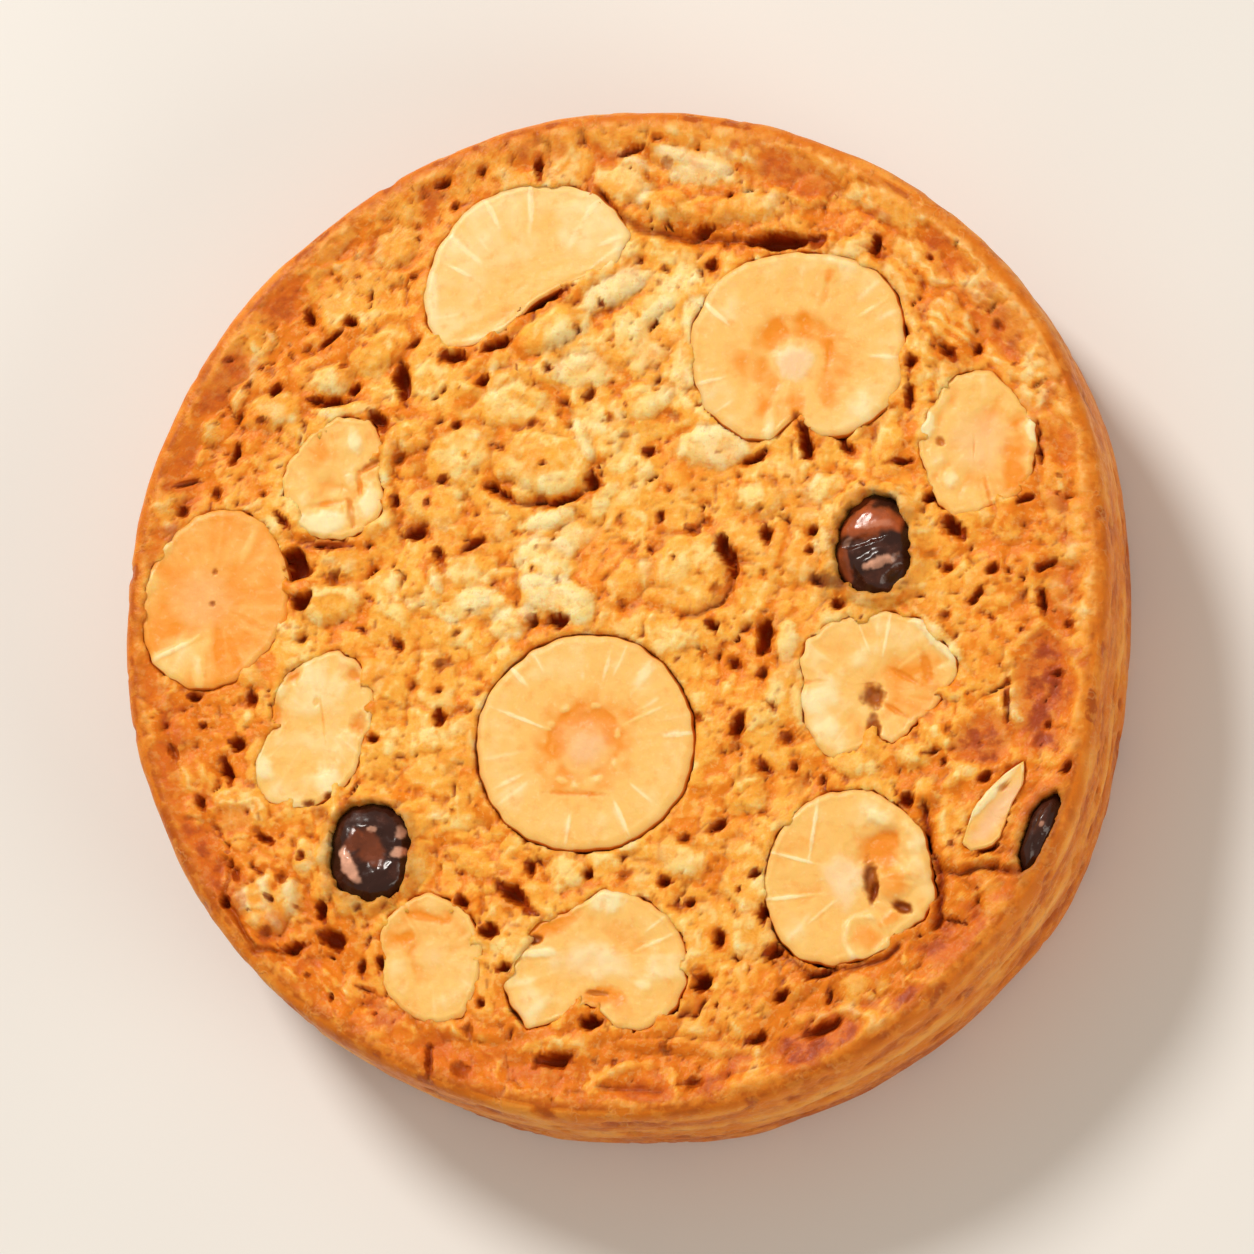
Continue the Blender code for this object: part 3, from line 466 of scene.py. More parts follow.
# Reddish brown smooth patches in the band inside the rim: middle, half length, half width, turn, strength
PATCHES = (
    (25.8, -4.9, 1.8, 3.3, 2, 1.0), (22.3, -8.1, 1.8, 1.4, 20, 0.9), (26.8, 0.4, 1.3, 2.0, -6, 0.6),
    (20.3, -20.0, 1.9, 1.2, 40, 0.85), (18.1, -23.3, 1.2, 0.8, 32, 1.0), (12.6, -26.0, 3.0, 1.3, 20, 1.0),
    (2.2, -28.6, 1.9, 0.6, -4, 0.75), (-3.4, -27.4, 2.2, 1.0, -4, 0.55),
    (-9.6, -26.3, 2.6, 1.2, -18, 0.6), (-24.6, -14.4, 1.3, 3.4, 24, 0.85),
    (-26.6, -9.8, 1.1, 2.4, 16, 0.7), (-22.4, -12.2, 1.3, 0.9, 20, 0.45), (-28.0, -3.6, 0.9, 1.6, 5, 0.6),
    (-26.6, 10.2, 1.1, 2.6, -22, 0.7), (-24.0, 14.4, 1.1, 2.4, -34, 0.7),
    (-20.6, 19.2, 1.1, 1.9, -45, 0.75), (-17.0, 22.8, 1.9, 0.9, 38, 0.35),
    (10.6, 26.2, 2.6, 1.2, -18, 0.75), (23.2, 16.4, 1.2, 1.9, 30, 0.75), (19.6, 21.0, 2.2, 0.9, -46, 0.5),
    (26.6, 9.6, 0.8, 2.2, 16, 0.45), (23.3, -17.6, 2.0, 0.9, 50, 0.45),
    (-18.2, -22.9, 2.4, 0.9, -38, 0.45), (-28.0, 4.6, 0.8, 1.8, -8, 0.6),
)

# Paler and browner parts of the crumb: middle, half length, half width, turn, how much paler
TINTS = (
    (3.2, 15.6, 2.6, 5.0, 0, 0.6), (1.6, 21.6, 3.4, 2.4, -10, 0.6), (4.2, 26.4, 4.0, 1.6, -14, 0.6),
    (-2.4, 15.6, 3.2, 3.2, 20, 0.4), (-5.0, 5.8, 3.4, 2.0, 0, 0.5), (5.6, 10.4, 2.2, 1.4, 0, 0.25),
    (-10.0, -1.6, 3.4, 2.2, 0, 0.3), (12.0, -2.6, 2.2, 1.6, 0, 0.2), (6.4, -8.0, 1.8, 4.4, 0, -0.5),
    (6.6, -14.2, 2.6, 2.4, 20, -0.25), (24.4, 0.8, 3.0, 5.0, 0, -0.4), (17.6, -19.4, 4.0, 3.0, 40, -0.6),
    (24.6, -10.6, 3.6, 2.4, 60, -0.4), (20.0, -6.2, 3.6, 2.6, 0, -0.4), (16.4, 2.4, 4.0, 1.8, 0, -0.35),
    (10.2, 22.8, 3.2, 1.0, 0, -0.4), (-25.6, -9.6, 2.0, 4.0, 10, -0.4),
    (-20.4, 19.4, 2.4, 4.6, -45, -0.4), (-25.4, 11.4, 2.0, 4.0, -25, -0.3),
    (14.4, -14.6, 3.0, 1.6, 20, -0.2), (-10.0, -14.6, 2.0, 1.6, 0, -0.25),
)

PALEST_SIDE = 60.0               # direction in which the rim is palest (degrees)
PORE_COUNT = 150
PORE_SEED = 11
PORE_REACH = 28.5                # the small pores lie inside this radius

# How an oval's outline wavers: seed and share
PORE_WAVER = (51, 0.38)
CLOD_WAVER = (57, 0.26)
PATCH_WAVER = (58, 0.36)
TINT_WAVER = (59, 0.3)
MARK_WAVER = (61, 0.24)
FOLD_WAVER = (62, 0.20)
COLOUR_WAVER = (63, 0.30)
SMEAR_WAVER = (51, 0.2)
SMEAR_STREAK = (13.0, 1.5, 1.4, 0.40, -14)         # a thin streak of chocolate: middle, half sizes, turn


def rim_inset(x, y):
    """How far in from the wall a place is."""
    return rim_reach(np.arctan2(y, x)) - np.hypot(x, y)


def oval_share(x, y, row, place, seed, ragged):
    """Where points lie in a ragged oval: 0 in its middle, 1 on its outline; and which of them are near it."""
    middle_x, middle_y, length, width, turn = row[:5]
    near = np.nonzero(np.hypot(x - middle_x, y - middle_y) < max(length, width) * 2.2 + 0.2)[0]
    away_x = x[near] - middle_x
    away_y = y[near] - middle_y
    along, across = turned(away_x, away_y, math.radians(turn))
    scale = max(0.45, 0.9 * math.sqrt(length * width))
    wave = grain(away_x / scale + 7.3 * place, away_y / scale, seed)
    wave = wave + 0.5 * grain(away_x / scale * 2.3 + 3.1 * place, away_y / scale * 2.3, seed + 1)
    return np.hypot(along / length, across / width) * np.maximum(1.0 - ragged * wave, 0.3), near


def ovals(x, y, rows, waver, seed=0):
    """Each row of a table of ovals, with where the points near it lie in it."""
    for place, row in enumerate(rows):
        yield row, *oval_share(x, y, row, place + seed, *waver)


def cleft_distance(x, y, path):
    """Distance from a winding line, which wavers a little."""
    shift_x = x + 0.16 * spots(x, y, 0.9, 91)
    shift_y = y + 0.16 * spots(x, y, 0.9, 92)
    closest = np.full(len(x), FAR)
    for (first_x, first_y), (last_x, last_y) in zip(path, path[1:]):
        step_x = last_x - first_x
        step_y = last_y - first_y
        share = ((shift_x - first_x) * step_x + (shift_y - first_y) * step_y) / (step_x ** 2 + step_y ** 2)
        share = np.clip(share, 0.0, 1.0)
        off_x = shift_x - first_x - share * step_x
        off_y = shift_y - first_y - share * step_y
        closest = np.minimum(closest, np.hypot(off_x, off_y))
    return closest


def set_in_distance(x, y):
    """Distance outside the nearest set-in piece, direction from its middle, its number, and the way out."""
    closest = np.full(len(x), FAR)
    turn = np.zeros(len(x))
    owner = np.zeros(len(x), int)
    outward = np.zeros(len(x))
    for place, (middle, _, reach) in enumerate(SET_IN.values()):
        away_x = x - middle[0]
        away_y = y - middle[1]
        angle = np.arctan2(away_y, away_x)
        edge = reach(angle)
        slope = (reach(angle + SLOPE_STEP) - reach(angle - SLOPE_STEP)) / (2.0 * SLOPE_STEP) / edge
        apart = (np.hypot(away_x, away_y) - edge) / np.hypot(1.0, slope)
        nearer = apart < closest
        closest = np.where(nearer, apart, closest)
        turn = np.where(nearer, angle, turn)
        owner = np.where(nearer, place, owner)
        outward = np.where(nearer, angle - np.arctan(slope), outward)
    closest = np.maximum(closest, EDGE_INSET + 0.15 - rim_inset(x, y))
    return closest, turn, owner, outward


# How far the dough stands off each set-in piece (mm, below 0 it comes over the edge), and how much it laps it
CONTACTS = {
    "hazelnut_top_half": (-0.02, 0.5), "hazelnut_upper_round": (-0.04, 0.6),
    "hazelnut_middle_round": (0.04, 0.0), "hazelnut_left": (-0.05, 0.6),
    "hazelnut_left_pale": (-0.08, 1.0), "hazelnut_left_small": (-0.06, 1.0),
    "hazelnut_bottom_heart": (-0.03, 0.8), "hazelnut_lower_right": (0.02, 0.5),
    "hazelnut_right_ragged": (-0.08, 1.1), "hazelnut_upper_right": (-0.08, 1.1),
    "hazelnut_bottom_left": (-0.05, 1.0), "hazelnut_rim_sliver": (-0.05, 0.4),
    "chocolate_right": (0.02, 0.2), "chocolate_left": (0.02, 0.2), "chocolate_rim": (-0.02, 0.0),
}
STAND_OFF, LAP = np.array([CONTACTS[name] for name in SET_IN]).T
LEVELS = np.array([top for _, top, _ in SET_IN.values()])
LAP_REACH = 0.65                 # how far a full lap comes over an edge
GAP_LEAST = -0.74                # and the farthest that the dough may come over one
FLOOR_INSET = np.where(LAP > 0.5, 0.9, 0.5)        # a pocket's floor starts this far inside its outline


def contact(turn, owner):
    """Where the dough starts outside a set-in piece, how much it laps over it, and how much painted shade the
    join gets, which also deepens its groove.
    """
    around = np.cos(turn) * 3.6 + owner * 9.1
    along = np.sin(turn) * 3.6
    lap = smoothstep(0.05, 0.50, grain(around, along, 53)) * LAP[owner]
    shade = np.where(LAP[owner] > 0.0, smoothstep(-0.10, 0.5, grain(around * 0.8, along * 0.8, 55)), 0.7)
    gap = STAND_OFF[owner] + 0.06 * grain(around * 2.2, along * 2.2, 54) - LAP_REACH * lap
    return np.maximum(gap - 0.12 * (1.0 - shade), GAP_LEAST), lap, shade


def scattered_pores():
    """Small pores by a seeded rule, clear of the set-in pieces, the rim and the larger crevices."""
    draw = random.Random(PORE_SEED)
    rows = []
    while len(rows) < PORE_COUNT:
        reach = PORE_REACH * math.sqrt(draw.random())
        angle = draw.uniform(0.0, TAU)
        x = reach * math.cos(angle)
        y = reach * math.sin(angle)
        length = 0.15 + 0.33 * draw.random() ** 2
        row = (x, y, length, length * draw.uniform(0.4, 0.9), draw.uniform(0, 180), draw.uniform(0.15, 0.8))
        here = (np.array([x]), np.array([y]))
        outside = set_in_distance(*here)[0][0] > length + 0.3
        inside = rim_inset(*here)[0] > 1.3 + length
        others = (*CREVICES, *rows)
        free = all(math.hypot(x - other[0], y - other[1]) > 0.8 + max(other[2:4]) for other in others)
        if outside and inside and free:
            rows.append(row)
    return rows


def draw_to(distance, reach):
    """The share by which to move a point towards an edge that is nearer than the reach."""
    return smoothstep(reach, 0.5 * reach, np.abs(distance))


def draw_to_ovals(x, y, rows, waver, reach):
    """Move points that are near an oval's outline straight onto it."""
    for row, share, near in ovals(x, y, rows, waver):
        turn = math.radians(row[4])
        along, across = turned(x[near] - row[0], y[near] - row[1], turn)
        along /= row[2] ** 2
        across /= row[3] ** 2
        steep = np.maximum(np.hypot(along, across), 0.05)
        distance = (1.05 - share) * np.maximum(share, 0.3) / steep
        pull = draw_to(distance, reach) * distance / steep
        x[near] += pull * (along * math.cos(turn) - across * math.sin(turn))
        y[near] += pull * (along * math.sin(turn) + across * math.cos(turn))


def draw_to_edges(x, y, pores):
    """Move the grid's points that lie next to the edge of a pocket, flake or pore onto it, so it is crisp."""
    pitch = 2.0 * GRID_REACH / TOP_CELLS
    apart, turn, owner, outward = set_in_distance(x, y)
    step = contact(turn, owner)[0] - apart
    step *= draw_to(step, pitch)
    x = x + step * np.cos(outward)
    y = y + step * np.sin(outward)
    draw_to_ovals(x, y, CLODS, CLOD_WAVER, 0.7 * pitch)
    draw_to_ovals(x, y, pores, PORE_WAVER, 0.9 * pitch)
    return x, y


def corner_turns(x, y, quads):
    """How far each corner of each face opens, as an area; below 0 where a face folds over."""
    here, after, before = [np.roll(quads, -step, axis=1).T for step in (0, 1, 3)]
    return (x[after] - x[here]) * (y[before] - y[here]) - (y[after] - y[here]) * (x[before] - x[here])


def unfold(x, y, moved_x, moved_y, quads):
    """Let moved points back, half by half, until no face round them is folded or squeezed."""
    least = 0.2 * np.maximum(corner_turns(x, y, quads), 0.0)
    for _ in range(UNFOLD_ROUNDS):
        tight = quads[(corner_turns(moved_x, moved_y, quads) < least).any(axis=0)]
        back = np.unique(tight)
        moved_x[back] = 0.5 * (moved_x[back] + x[back])
        moved_y[back] = 0.5 * (moved_y[back] + y[back])


def base_level(x, y, inset):
    """The solid's own relief: swells, lumps, the smoother band and the lip."""
    swell = np.empty(len(x))
    lump = np.empty(len(x))
    for place, (px, py) in enumerate(zip(x, y)):
        here = Vector((px, py, 0.0))
        swell[place] = noise.noise(here / SWELL_SIZE + Vector((3.0, 1.0, 5.0)))
        lump[place] = 0.45 - noise.voronoi(here / LUMP_SIZE)[0][0]
    crumbly = smoothstep(LIP_INSET, BAND_INSET + BAND_WIDTH, inset)
    lip = LIP_HEIGHT * bump(inset, LIP_INSET, LIP_WIDTH)
    band = BAND_DEPTH * bump(inset, BAND_INSET, BAND_WIDTH)
    return DOUGH_HEIGHT + SWELL_HEIGHT * swell + crumbly * LUMP_HEIGHT * lump + lip - band


def crumble(x, y):
    """Relief of the crumb in clods of two sizes, the pits where they meet, the painted shade of its hollows,
    and its paleness: random mottle, with painted highlight on raised clods and specks and painted shade on
    their borders.
    """
    warp_x = x + 0.80 * spots(x, y, 2.6, 21) + 0.35 * spots(x, y, 1.0, 23)
    warp_y = y + 0.80 * spots(x, y, 2.6, 22) + 0.35 * spots(x, y, 1.0, 24)
    near, second, third, name, other = cells(warp_x / 2.6, warp_y / 2.6, 31)
    edge = second - near
    level = name + 0.5 * (other - name) * smoothstep(0.22, 0.0, edge)
    clod = 0.26 * (0.35 - near ** 2) + 0.27 * (level - 0.5)
    cleft = smoothstep(0.10, 0.0, edge) * smoothstep(-0.05, 0.45, spots(x, y, 2.0, 25))
    knot = smoothstep(0.16, 0.04, third - near) * smoothstep(-0.05, 0.25, spots(x, y, 3.1, 26))
    small_near, small_second, small_third, small_name, small_other = cells(warp_x / 0.95, warp_y / 0.95, 41)
    small_edge = small_second - small_near
    small_level = small_name + 0.5 * (small_other - small_name) * smoothstep(0.35, 0.0, small_edge)
    cobble = 0.14 * (0.35 - small_near ** 2) + 0.11 * (small_level - 0.5)
    crack = smoothstep(0.15, 0.0, small_edge) * smoothstep(-0.05, 0.5, spots(x, y, 1.5, 27))
    dimple = smoothstep(0.13, 0.04, small_third - small_near) * smoothstep(0.15, 0.5, spots(x, y, 1.9, 30))
    swirl = spots(warp_x, warp_y, 1.25, 28) + 0.5 * spots(warp_x, warp_y, 0.6, 33)
    fine = spots(x, y, 0.45, 37) + 0.7 * grain(x / 0.9 + 0.4 * swirl, y / 0.9, 38)
    speck = smoothstep(0.42, 0.75, fine)
    nick = smoothstep(-0.56, -0.88, fine)
    height = clod + cobble + 0.055 * swirl - 0.18 * cleft - 0.07 * crack - 0.50 * knot - 0.20 * dimple
    height += 0.026 * fine + 0.05 * speck - 0.15 * nick
    # Painted shade in the clefts, cracks, dimples and nicks
    hollow_shade = np.clip(0.42 * cleft + 0.20 * crack + 0.36 * dimple + 0.55 * nick, 0.0, 1.0)
    mottle = spots(x, y, 1.1, 34) + 0.6 * spots(x, y, 0.55, 35)
    # Paleness rises with the relief, a painted highlight on raised clods, cobbles and specks, and falls along
    # the borders of small and large clods as painted shade; mottle and swirl add random tone
    seam_shade = 0.26 * smoothstep(0.30, 0.03, small_edge)
    tone = 0.50 * (level - 0.5) + 0.50 * (small_level - 0.5) + 1.0 * clod + 1.5 * cobble + 0.24 * mottle
    tone = tone + 0.20 * swirl
    tone += 0.18 * fine + 0.34 * speck + 0.08 - seam_shade - 0.20 * smoothstep(0.16, 0.0, edge)
    return height, hollow_shade, np.clip(knot, 0.0, 1.0), tone


def soften(values, share):
    """Draw each of the grid's values towards the mean of those round it."""
    grid = np.pad(values.reshape(TOP_CELLS + 1, TOP_CELLS + 1), 1, "edge")
    rows = grid[:-2] + 2.0 * grid[1:-1] + grid[2:]
    mean = (rows[:, :-2] + 2.0 * rows[:, 1:-1] + rows[:, 2:]) / 16.0
    return values + share * (mean.ravel() - values)


def make_top(x, y, pores):
    """Height of the dough's top, the layers that colour it, and which points are over a pocket's floor."""
    inset = rim_inset(x, y)
    height = base_level(x, y, inset)
    relief, hollow_shade, knot, tone = crumble(x, y)
    rough = 0.50 + 0.50 * smoothstep(0.8, 2.6, inset + 0.7 * spots(x, y, 3.0, 29))
    for row, share, near in ovals(x, y, CLODS, CLOD_WAVER):
        soft = min(0.45 / min(row[2], row[3]), 0.6)
        inside = smoothstep(1.0 + 0.5 * soft, 1.0 - 0.5 * soft, share)
        rise = row[5] * smoothstep(1.0 + 0.25 * soft, 1.0 - soft, share)
        relief[near] = relief[near] * (1 - 0.5 * inside) + rise
        relief[near] -= 0.10 * bump(share, 1.0 + 0.35 * soft, 0.3 * soft)
        # Painted shade in a ring round each clod, a painted highlight just inside its edge and more painted
        # shade just outside it
        hollow_shade[near] = hollow_shade[near] * (1 - 0.7 * inside) + 0.30 * bump(share, 1.0 + 0.3 * soft, 0.25 * soft)
        knot[near] *= 1 - inside
        pale = row[6] * 0.66 * inside
        tone[near] = tone[near] * (1 - 0.15 * inside) + pale + 0.25 * bump(share, 0.92, 0.12)
        tone[near] -= 0.40 * bump(share, 1.0 + 0.7 * soft, 0.6 * soft)
    for path, width, rise, pale in RIDGES:
        apart = cleft_distance(x, y, path)
        ridge = bump(apart, 0.0, 1.1 * width)
        relief += rise * ridge
        hollow_shade *= 1 - 0.8 * ridge
        knot *= 1 - ridge
        # Paler on each ridge (its own paleness and a painted highlight), darker just beside it (painted
        # shade)
        tone += (0.25 + 0.6 * pale) * ridge - 0.25 * bump(apart, 2.4 * width, 0.9 * width)
    toast = np.zeros(len(x))
    for row, share, near in ovals(x, y, PATCHES, PATCH_WAVER):
        inside = smoothstep(1.30, 0.60, share) * smoothstep(0.7, 1.4, inset[near])
        relief[near] = relief[near] * (1 - 0.4 * inside) - 0.14 * inside + 0.10 * bump(share, 1.25, 0.15)
        hollow_shade[near] *= 1 - 0.4 * inside
        knot[near] *= 1 - 0.5 * inside
        toast[near] = np.maximum(toast[near], row[5] * inside)
        tone[near] += 0.60 * bump(share, 1.34, 0.14)
    blotch = spots(x, y, 2.1, 45) + 0.5 * spots(x, y, 0.8, 46)
    zone = smoothstep(0.7, 1.3, inset) * smoothstep(4.6, 2.4, inset)
    toast = np.maximum(toast, 0.7 * zone * smoothstep(0.0, 0.5, blotch))
    relief += 0.10 * zone * smoothstep(0.05, 0.15, -blotch)
    tone += 0.30 * zone * smoothstep(0.05, 0.35, -blotch)
    for row, share, near in ovals(x, y, TINTS, TINT_WAVER):
        tone[near] += row[5] * smoothstep(1.5, 0.3, share)
    fade = smoothstep(0.0, 0.9, inset - EDGE_INSET + 0.4)
    height += relief * rough * fade
    # Painted shade in the hollows and in the pits where clods meet
    pit = np.maximum(hollow_shade, knot) * rough * fade
    tone = tone * (0.4 + 0.6 * rough)
    for path, width, depth in CLEFTS:
        apart = cleft_distance(x, y, path)
        height -= depth * smoothstep(width * 1.9, 0.0, apart)
        # Painted shade in each cleft, and darker crumb along it, also painted shade
        pit = np.maximum(pit, smoothstep(width * 1.9, width * 0.4, apart) * min(1.0, 0.5 + 0.5 * depth))
        tone -= 0.45 * smoothstep(width * 5.0, width * 1.5, apart)
    apart, turn, owner, _ = set_in_distance(x, y)
    gap, lap, shade = contact(turn, owner)
    beside = smoothstep(1.3, 0.10, apart)
    target = LEVELS[owner] + 0.02 - 0.08 * shade + 0.15 * lap + 0.4 * (height - DOUGH_HEIGHT)
    height = height * (1 - 0.8 * beside) + 0.8 * beside * target
    for row, share, near in ovals(x, y, pores, PORE_WAVER):
        steep = min(0.35 / min(row[2], row[3]), 0.8)
        height[near] -= 0.9 * row[5] * smoothstep(1.08, 1.05 - steep, share)
        height[near] += 0.05 * bump(share, 1.25, 0.15)
        # Painted shade in each pore, and darker crumb round it, also painted shade
        pit[near] = np.maximum(pit[near], smoothstep(1.14, 0.88, share) * min(1.0, 0.45 + 0.6 * row[5]))
        tone[near] -= 0.55 * smoothstep(2.0, 1.0, share)
    height -= (0.02 + 0.12 * shade) * bump(apart, gap, 0.10)
    # Painted shade along the join with each set-in piece
    seam_shade = 0.35 * shade + 1.5 * np.clip(gap + 0.02, 0.0, 0.3)
    pit = np.maximum(pit, seam_shade * smoothstep(gap + 0.13, gap - 0.02, apart))
    # A dark halo round each drop, partly chocolate stain and partly painted shadow; the streak is chocolate
    # smeared on the dough
    smear = 0.5 * (owner >= len(SLICES)) * smoothstep(0.75, 0.0, apart + 0.45 * spots(x, y, 0.8, 36))
    share, near = oval_share(x, y, SMEAR_STREAK, 0, *SMEAR_WAVER)
    smear[near] = np.maximum(smear[near], smoothstep(1.2, 0.7, share))
    inner = smoothstep(gap + 0.01, gap - 0.14, apart)
    height = height * (1 - inner) + inner * (DOUGH_HEIGHT - POCKET_DEPTH)
    brown = smoothstep(9.5, 1.5, inset)
    tone = 0.52 + 0.66 * tone - 0.34 * brown
    # Paler along the lip's crest, a painted highlight; a little darker in the band just inside it
    tone += smoothstep(2.4, 1.2, inset) * (0.30 * bump(inset, 0.9, 0.5) - 0.10)
    toast = np.maximum(toast, 0.20 * brown)
    tone += 0.20 * smoothstep(8.0, 2.0, inset) * np.cos(np.arctan2(y, x) - math.radians(PALEST_SIDE))
    layers = {"pit": pit, "toast": toast, "tone": tone, "smear": smear, "wall": smoothstep(1.5, 0.5, inset)}
    free = smoothstep(0.15, 0.45, apart)
    height = soften(height, 0.25 * free)
    return height, layers, apart + FLOOR_INSET[owner] < 0.0


# ---------------------------------------------------------------- the dough's wall and base

WALL_BULGE = 0.12
WALL_PERIOD = 24                 # broad spots round the wall
WALL_PITS = (4, 1.3, 79)         # how many to a broad spot, how tall (mm), and the seed
BASE_RING_STEP = 0.45
BASE_GRID_INSET = 1.6            # the underside's grid starts this far inside the foot
BASE_PIT_SPACING = 3.0
BASE_PIT_DEPTH = 0.30


def wall_profile(level):
    """Rings below the top's edge: inset and height, for an edge at that level."""
    rows = []
    for step in range(1, EDGE_STEPS + 1):
        turn = math.pi / 2 * step / EDGE_STEPS
        rows.append((EDGE_INSET * (1.0 - math.sin(turn)), level - EDGE_DROP * (1.0 - math.cos(turn))))
    low = level - EDGE_DROP
    for step in range(1, WALL_STEPS + 1):
        share = step / WALL_STEPS
        rows.append((-WALL_BULGE * math.sin(math.pi * share), low + (FOOT_HEIGHT - low) * share))
    for step in range(1, FOOT_STEPS + 1):
        turn = math.pi / 2 * step / FOOT_STEPS
        rows.append((FOOT_INSET * (1.0 - math.cos(turn)), FOOT_HEIGHT * (1.0 - math.sin(turn))))
    return rows


def wall_noise(angle, height, repeats, tall, seed, shift=0.0):
    """Noise on the wall: so many spots in a period round it, each so many millimetres tall."""
    around = (angle / TAU + 0.5) * WALL_PERIOD
    return grain(around * repeats + shift, height / tall, seed, round(WALL_PERIOD * repeats))


def crease(angle, height):
    """How far streaks, creases and pits push the wall out."""
    broad = 0.16 * wall_noise(angle, height, 1, 3.2, 71)
    streak = 0.12 * wall_noise(angle, height, 1.5, 1.3, 72, 0.6 * broad)
    fine = 0.05 * wall_noise(angle, height, 5, 0.9, 73)
    crack = smoothstep(0.15, 0.0, np.abs(wall_noise(angle, height, 2, 1.0, 74)))
    line = -0.10 * crack * smoothstep(0.0, 0.4, wall_noise(angle, height, 1, 4.0, 75))
    pits = -0.20 * smoothstep(0.36, 0.66, wall_noise(angle, height, *WALL_PITS))
    return broad + streak + fine + line + pits


def wall_tone(angle, height):
    """How pale the wall is: a painted highlight along the top edge over a line of painted shade, a paler band
    that paints a satin sheen and is brighter on one side, darker towards the foot, random mottle, and painted
    light and shade that follow the creases and pits.
    """
    uneven = 0.7 + 0.6 * wall_noise(angle, height, 1, 3.0, 76)
    mottle = wall_noise(angle, height, 3, 1.5, 77) + 0.6 * wall_noise(angle, height, 6, 0.9, 78)
    # A paler band round the wall, brighter on one side: a painted satin sheen
    painted_sheen_band = 0.50 * bump(height, 6.4 + 0.5 * np.sin(3.0 * angle), 1.6) * (0.6 + 0.4 * np.cos(angle + 1.0))
    # A painted highlight along the rounded top edge, painted shade in a line under it
    bands = 0.40 * bump(height, 10.1, 0.6) - 0.22 * bump(height, 8.9, 0.7) + painted_sheen_band
    bands = bands - 0.30 * smoothstep(5.5, 0.5, height)
    dent_shade = smoothstep(0.42, 0.66, wall_noise(angle, height, *WALL_PITS))
    # Paler where the creases push the wall out, darker in their lines and pits: painted light and shade
    return 0.45 + uneven * bands + 0.20 * mottle + 1.4 * crease(angle, height) - 0.35 * dent_shade


def ring_points(angles, inset, height, share=1.0):
    """A ring of points at those insets and heights; the share says how much of the creases it has."""
    reach = rim_reach(angles) - inset + crease(angles, height) * share
    return np.stack((reach * np.cos(angles), reach * np.sin(angles), height), axis=1)


def loops_round(cells_out, quads):
    """The borders of the faces that are taken out, each as a loop of points."""
    taken = quads[cells_out]
    sides = np.concatenate([np.stack((taken[:, k], taken[:, (k + 1) % 4]), axis=1) for k in range(4)])
    known = {(int(first), int(last)) for first, last in sides}
    border = {first: last for first, last in known if (last, first) not in known}
    loops = []
    while border:
        start, point = border.popitem()
        loop = [start]
        while point != start:
            loop.append(point)
            point = border.pop(point)
        loops.append(loop)
    return loops


def build_dough(material):
    """The whole dough as one closed mesh: the top, the wall ring by ring, and the base."""
    x, y, quads, edge = disc_grid(TOP_CELLS)
    angle = np.arctan2(y, x)
    rim = np.hypot(x, y) > ON_RIM
    reach = np.hypot(x, y) * (rim_reach(angle) - EDGE_INSET)
    x = reach * np.cos(angle)
    y = reach * np.sin(angle)
    pores = [*CREVICES, *scattered_pores()]
    moved_x, moved_y = draw_to_edges(x.copy(), y.copy(), pores)
    unfold(x, y, moved_x, moved_y, quads)
    x = np.where(rim, x, moved_x)
    y = np.where(rim, y, moved_y)
    height, layers, within = make_top(x, y, pores)
    deep = within[quads].all(axis=1)
    height[np.unique(quads[deep])] = DOUGH_HEIGHT - POCKET_DEPTH
    parts = [np.stack((x, y, height), axis=1)]
    faces = quads[~deep].tolist() + loops_round(deep, quads)
    count = len(x)
    angles = angle[edge]
    levels = height[edge]
    around = np.concatenate((levels[-LEVEL_SPAN:], levels, levels[:LEVEL_SPAN]))
    span = 2 * LEVEL_SPAN + 1
    smooth_levels = np.convolve(around, np.ones(span) / span, "valid")
    upper = edge
    total = EDGE_STEPS + WALL_STEPS + FOOT_STEPS
    for ring in range(total):
        if ring == FINE_RINGS:
            angles, levels, smooth_levels = [values[::2] for values in (angles, levels, smooth_levels)]
        profile = np.array([wall_profile(level)[ring] for level in smooth_levels])
        settle = (levels - smooth_levels) * max(0.0, 1.0 - (ring + 1) / EDGE_STEPS)
        share = min(1.0, (ring + 1) / EDGE_STEPS) * min(1.0, (total - 1 - ring) / FOOT_STEPS)
        parts.append(ring_points(angles, profile[:, 0], profile[:, 1] + settle, share))
        lower = count + np.arange(len(angles))
        faces += halving_faces(upper, lower) if ring == FINE_RINGS else ring_faces(upper, lower)
        upper = lower
        count += len(angles)
    base_parts, base_faces = build_base(angles, upper, count)
    parts += base_parts
    faces += base_faces
    points = np.concatenate(parts)
    low = points[len(x):]
    below = {"tone": wall_tone(np.arctan2(low[:, 1], low[:, 0]), low[:, 2]), "wall": np.ones(len(low))}
    for name in layers:
        layers[name] = np.concatenate((layers[name], below.get(name, np.zeros(len(low)))))
    layers["base"] = smoothstep(1.2, 0.0, points[:, 2])
    return new_object("dough", points, faces, material, layers)


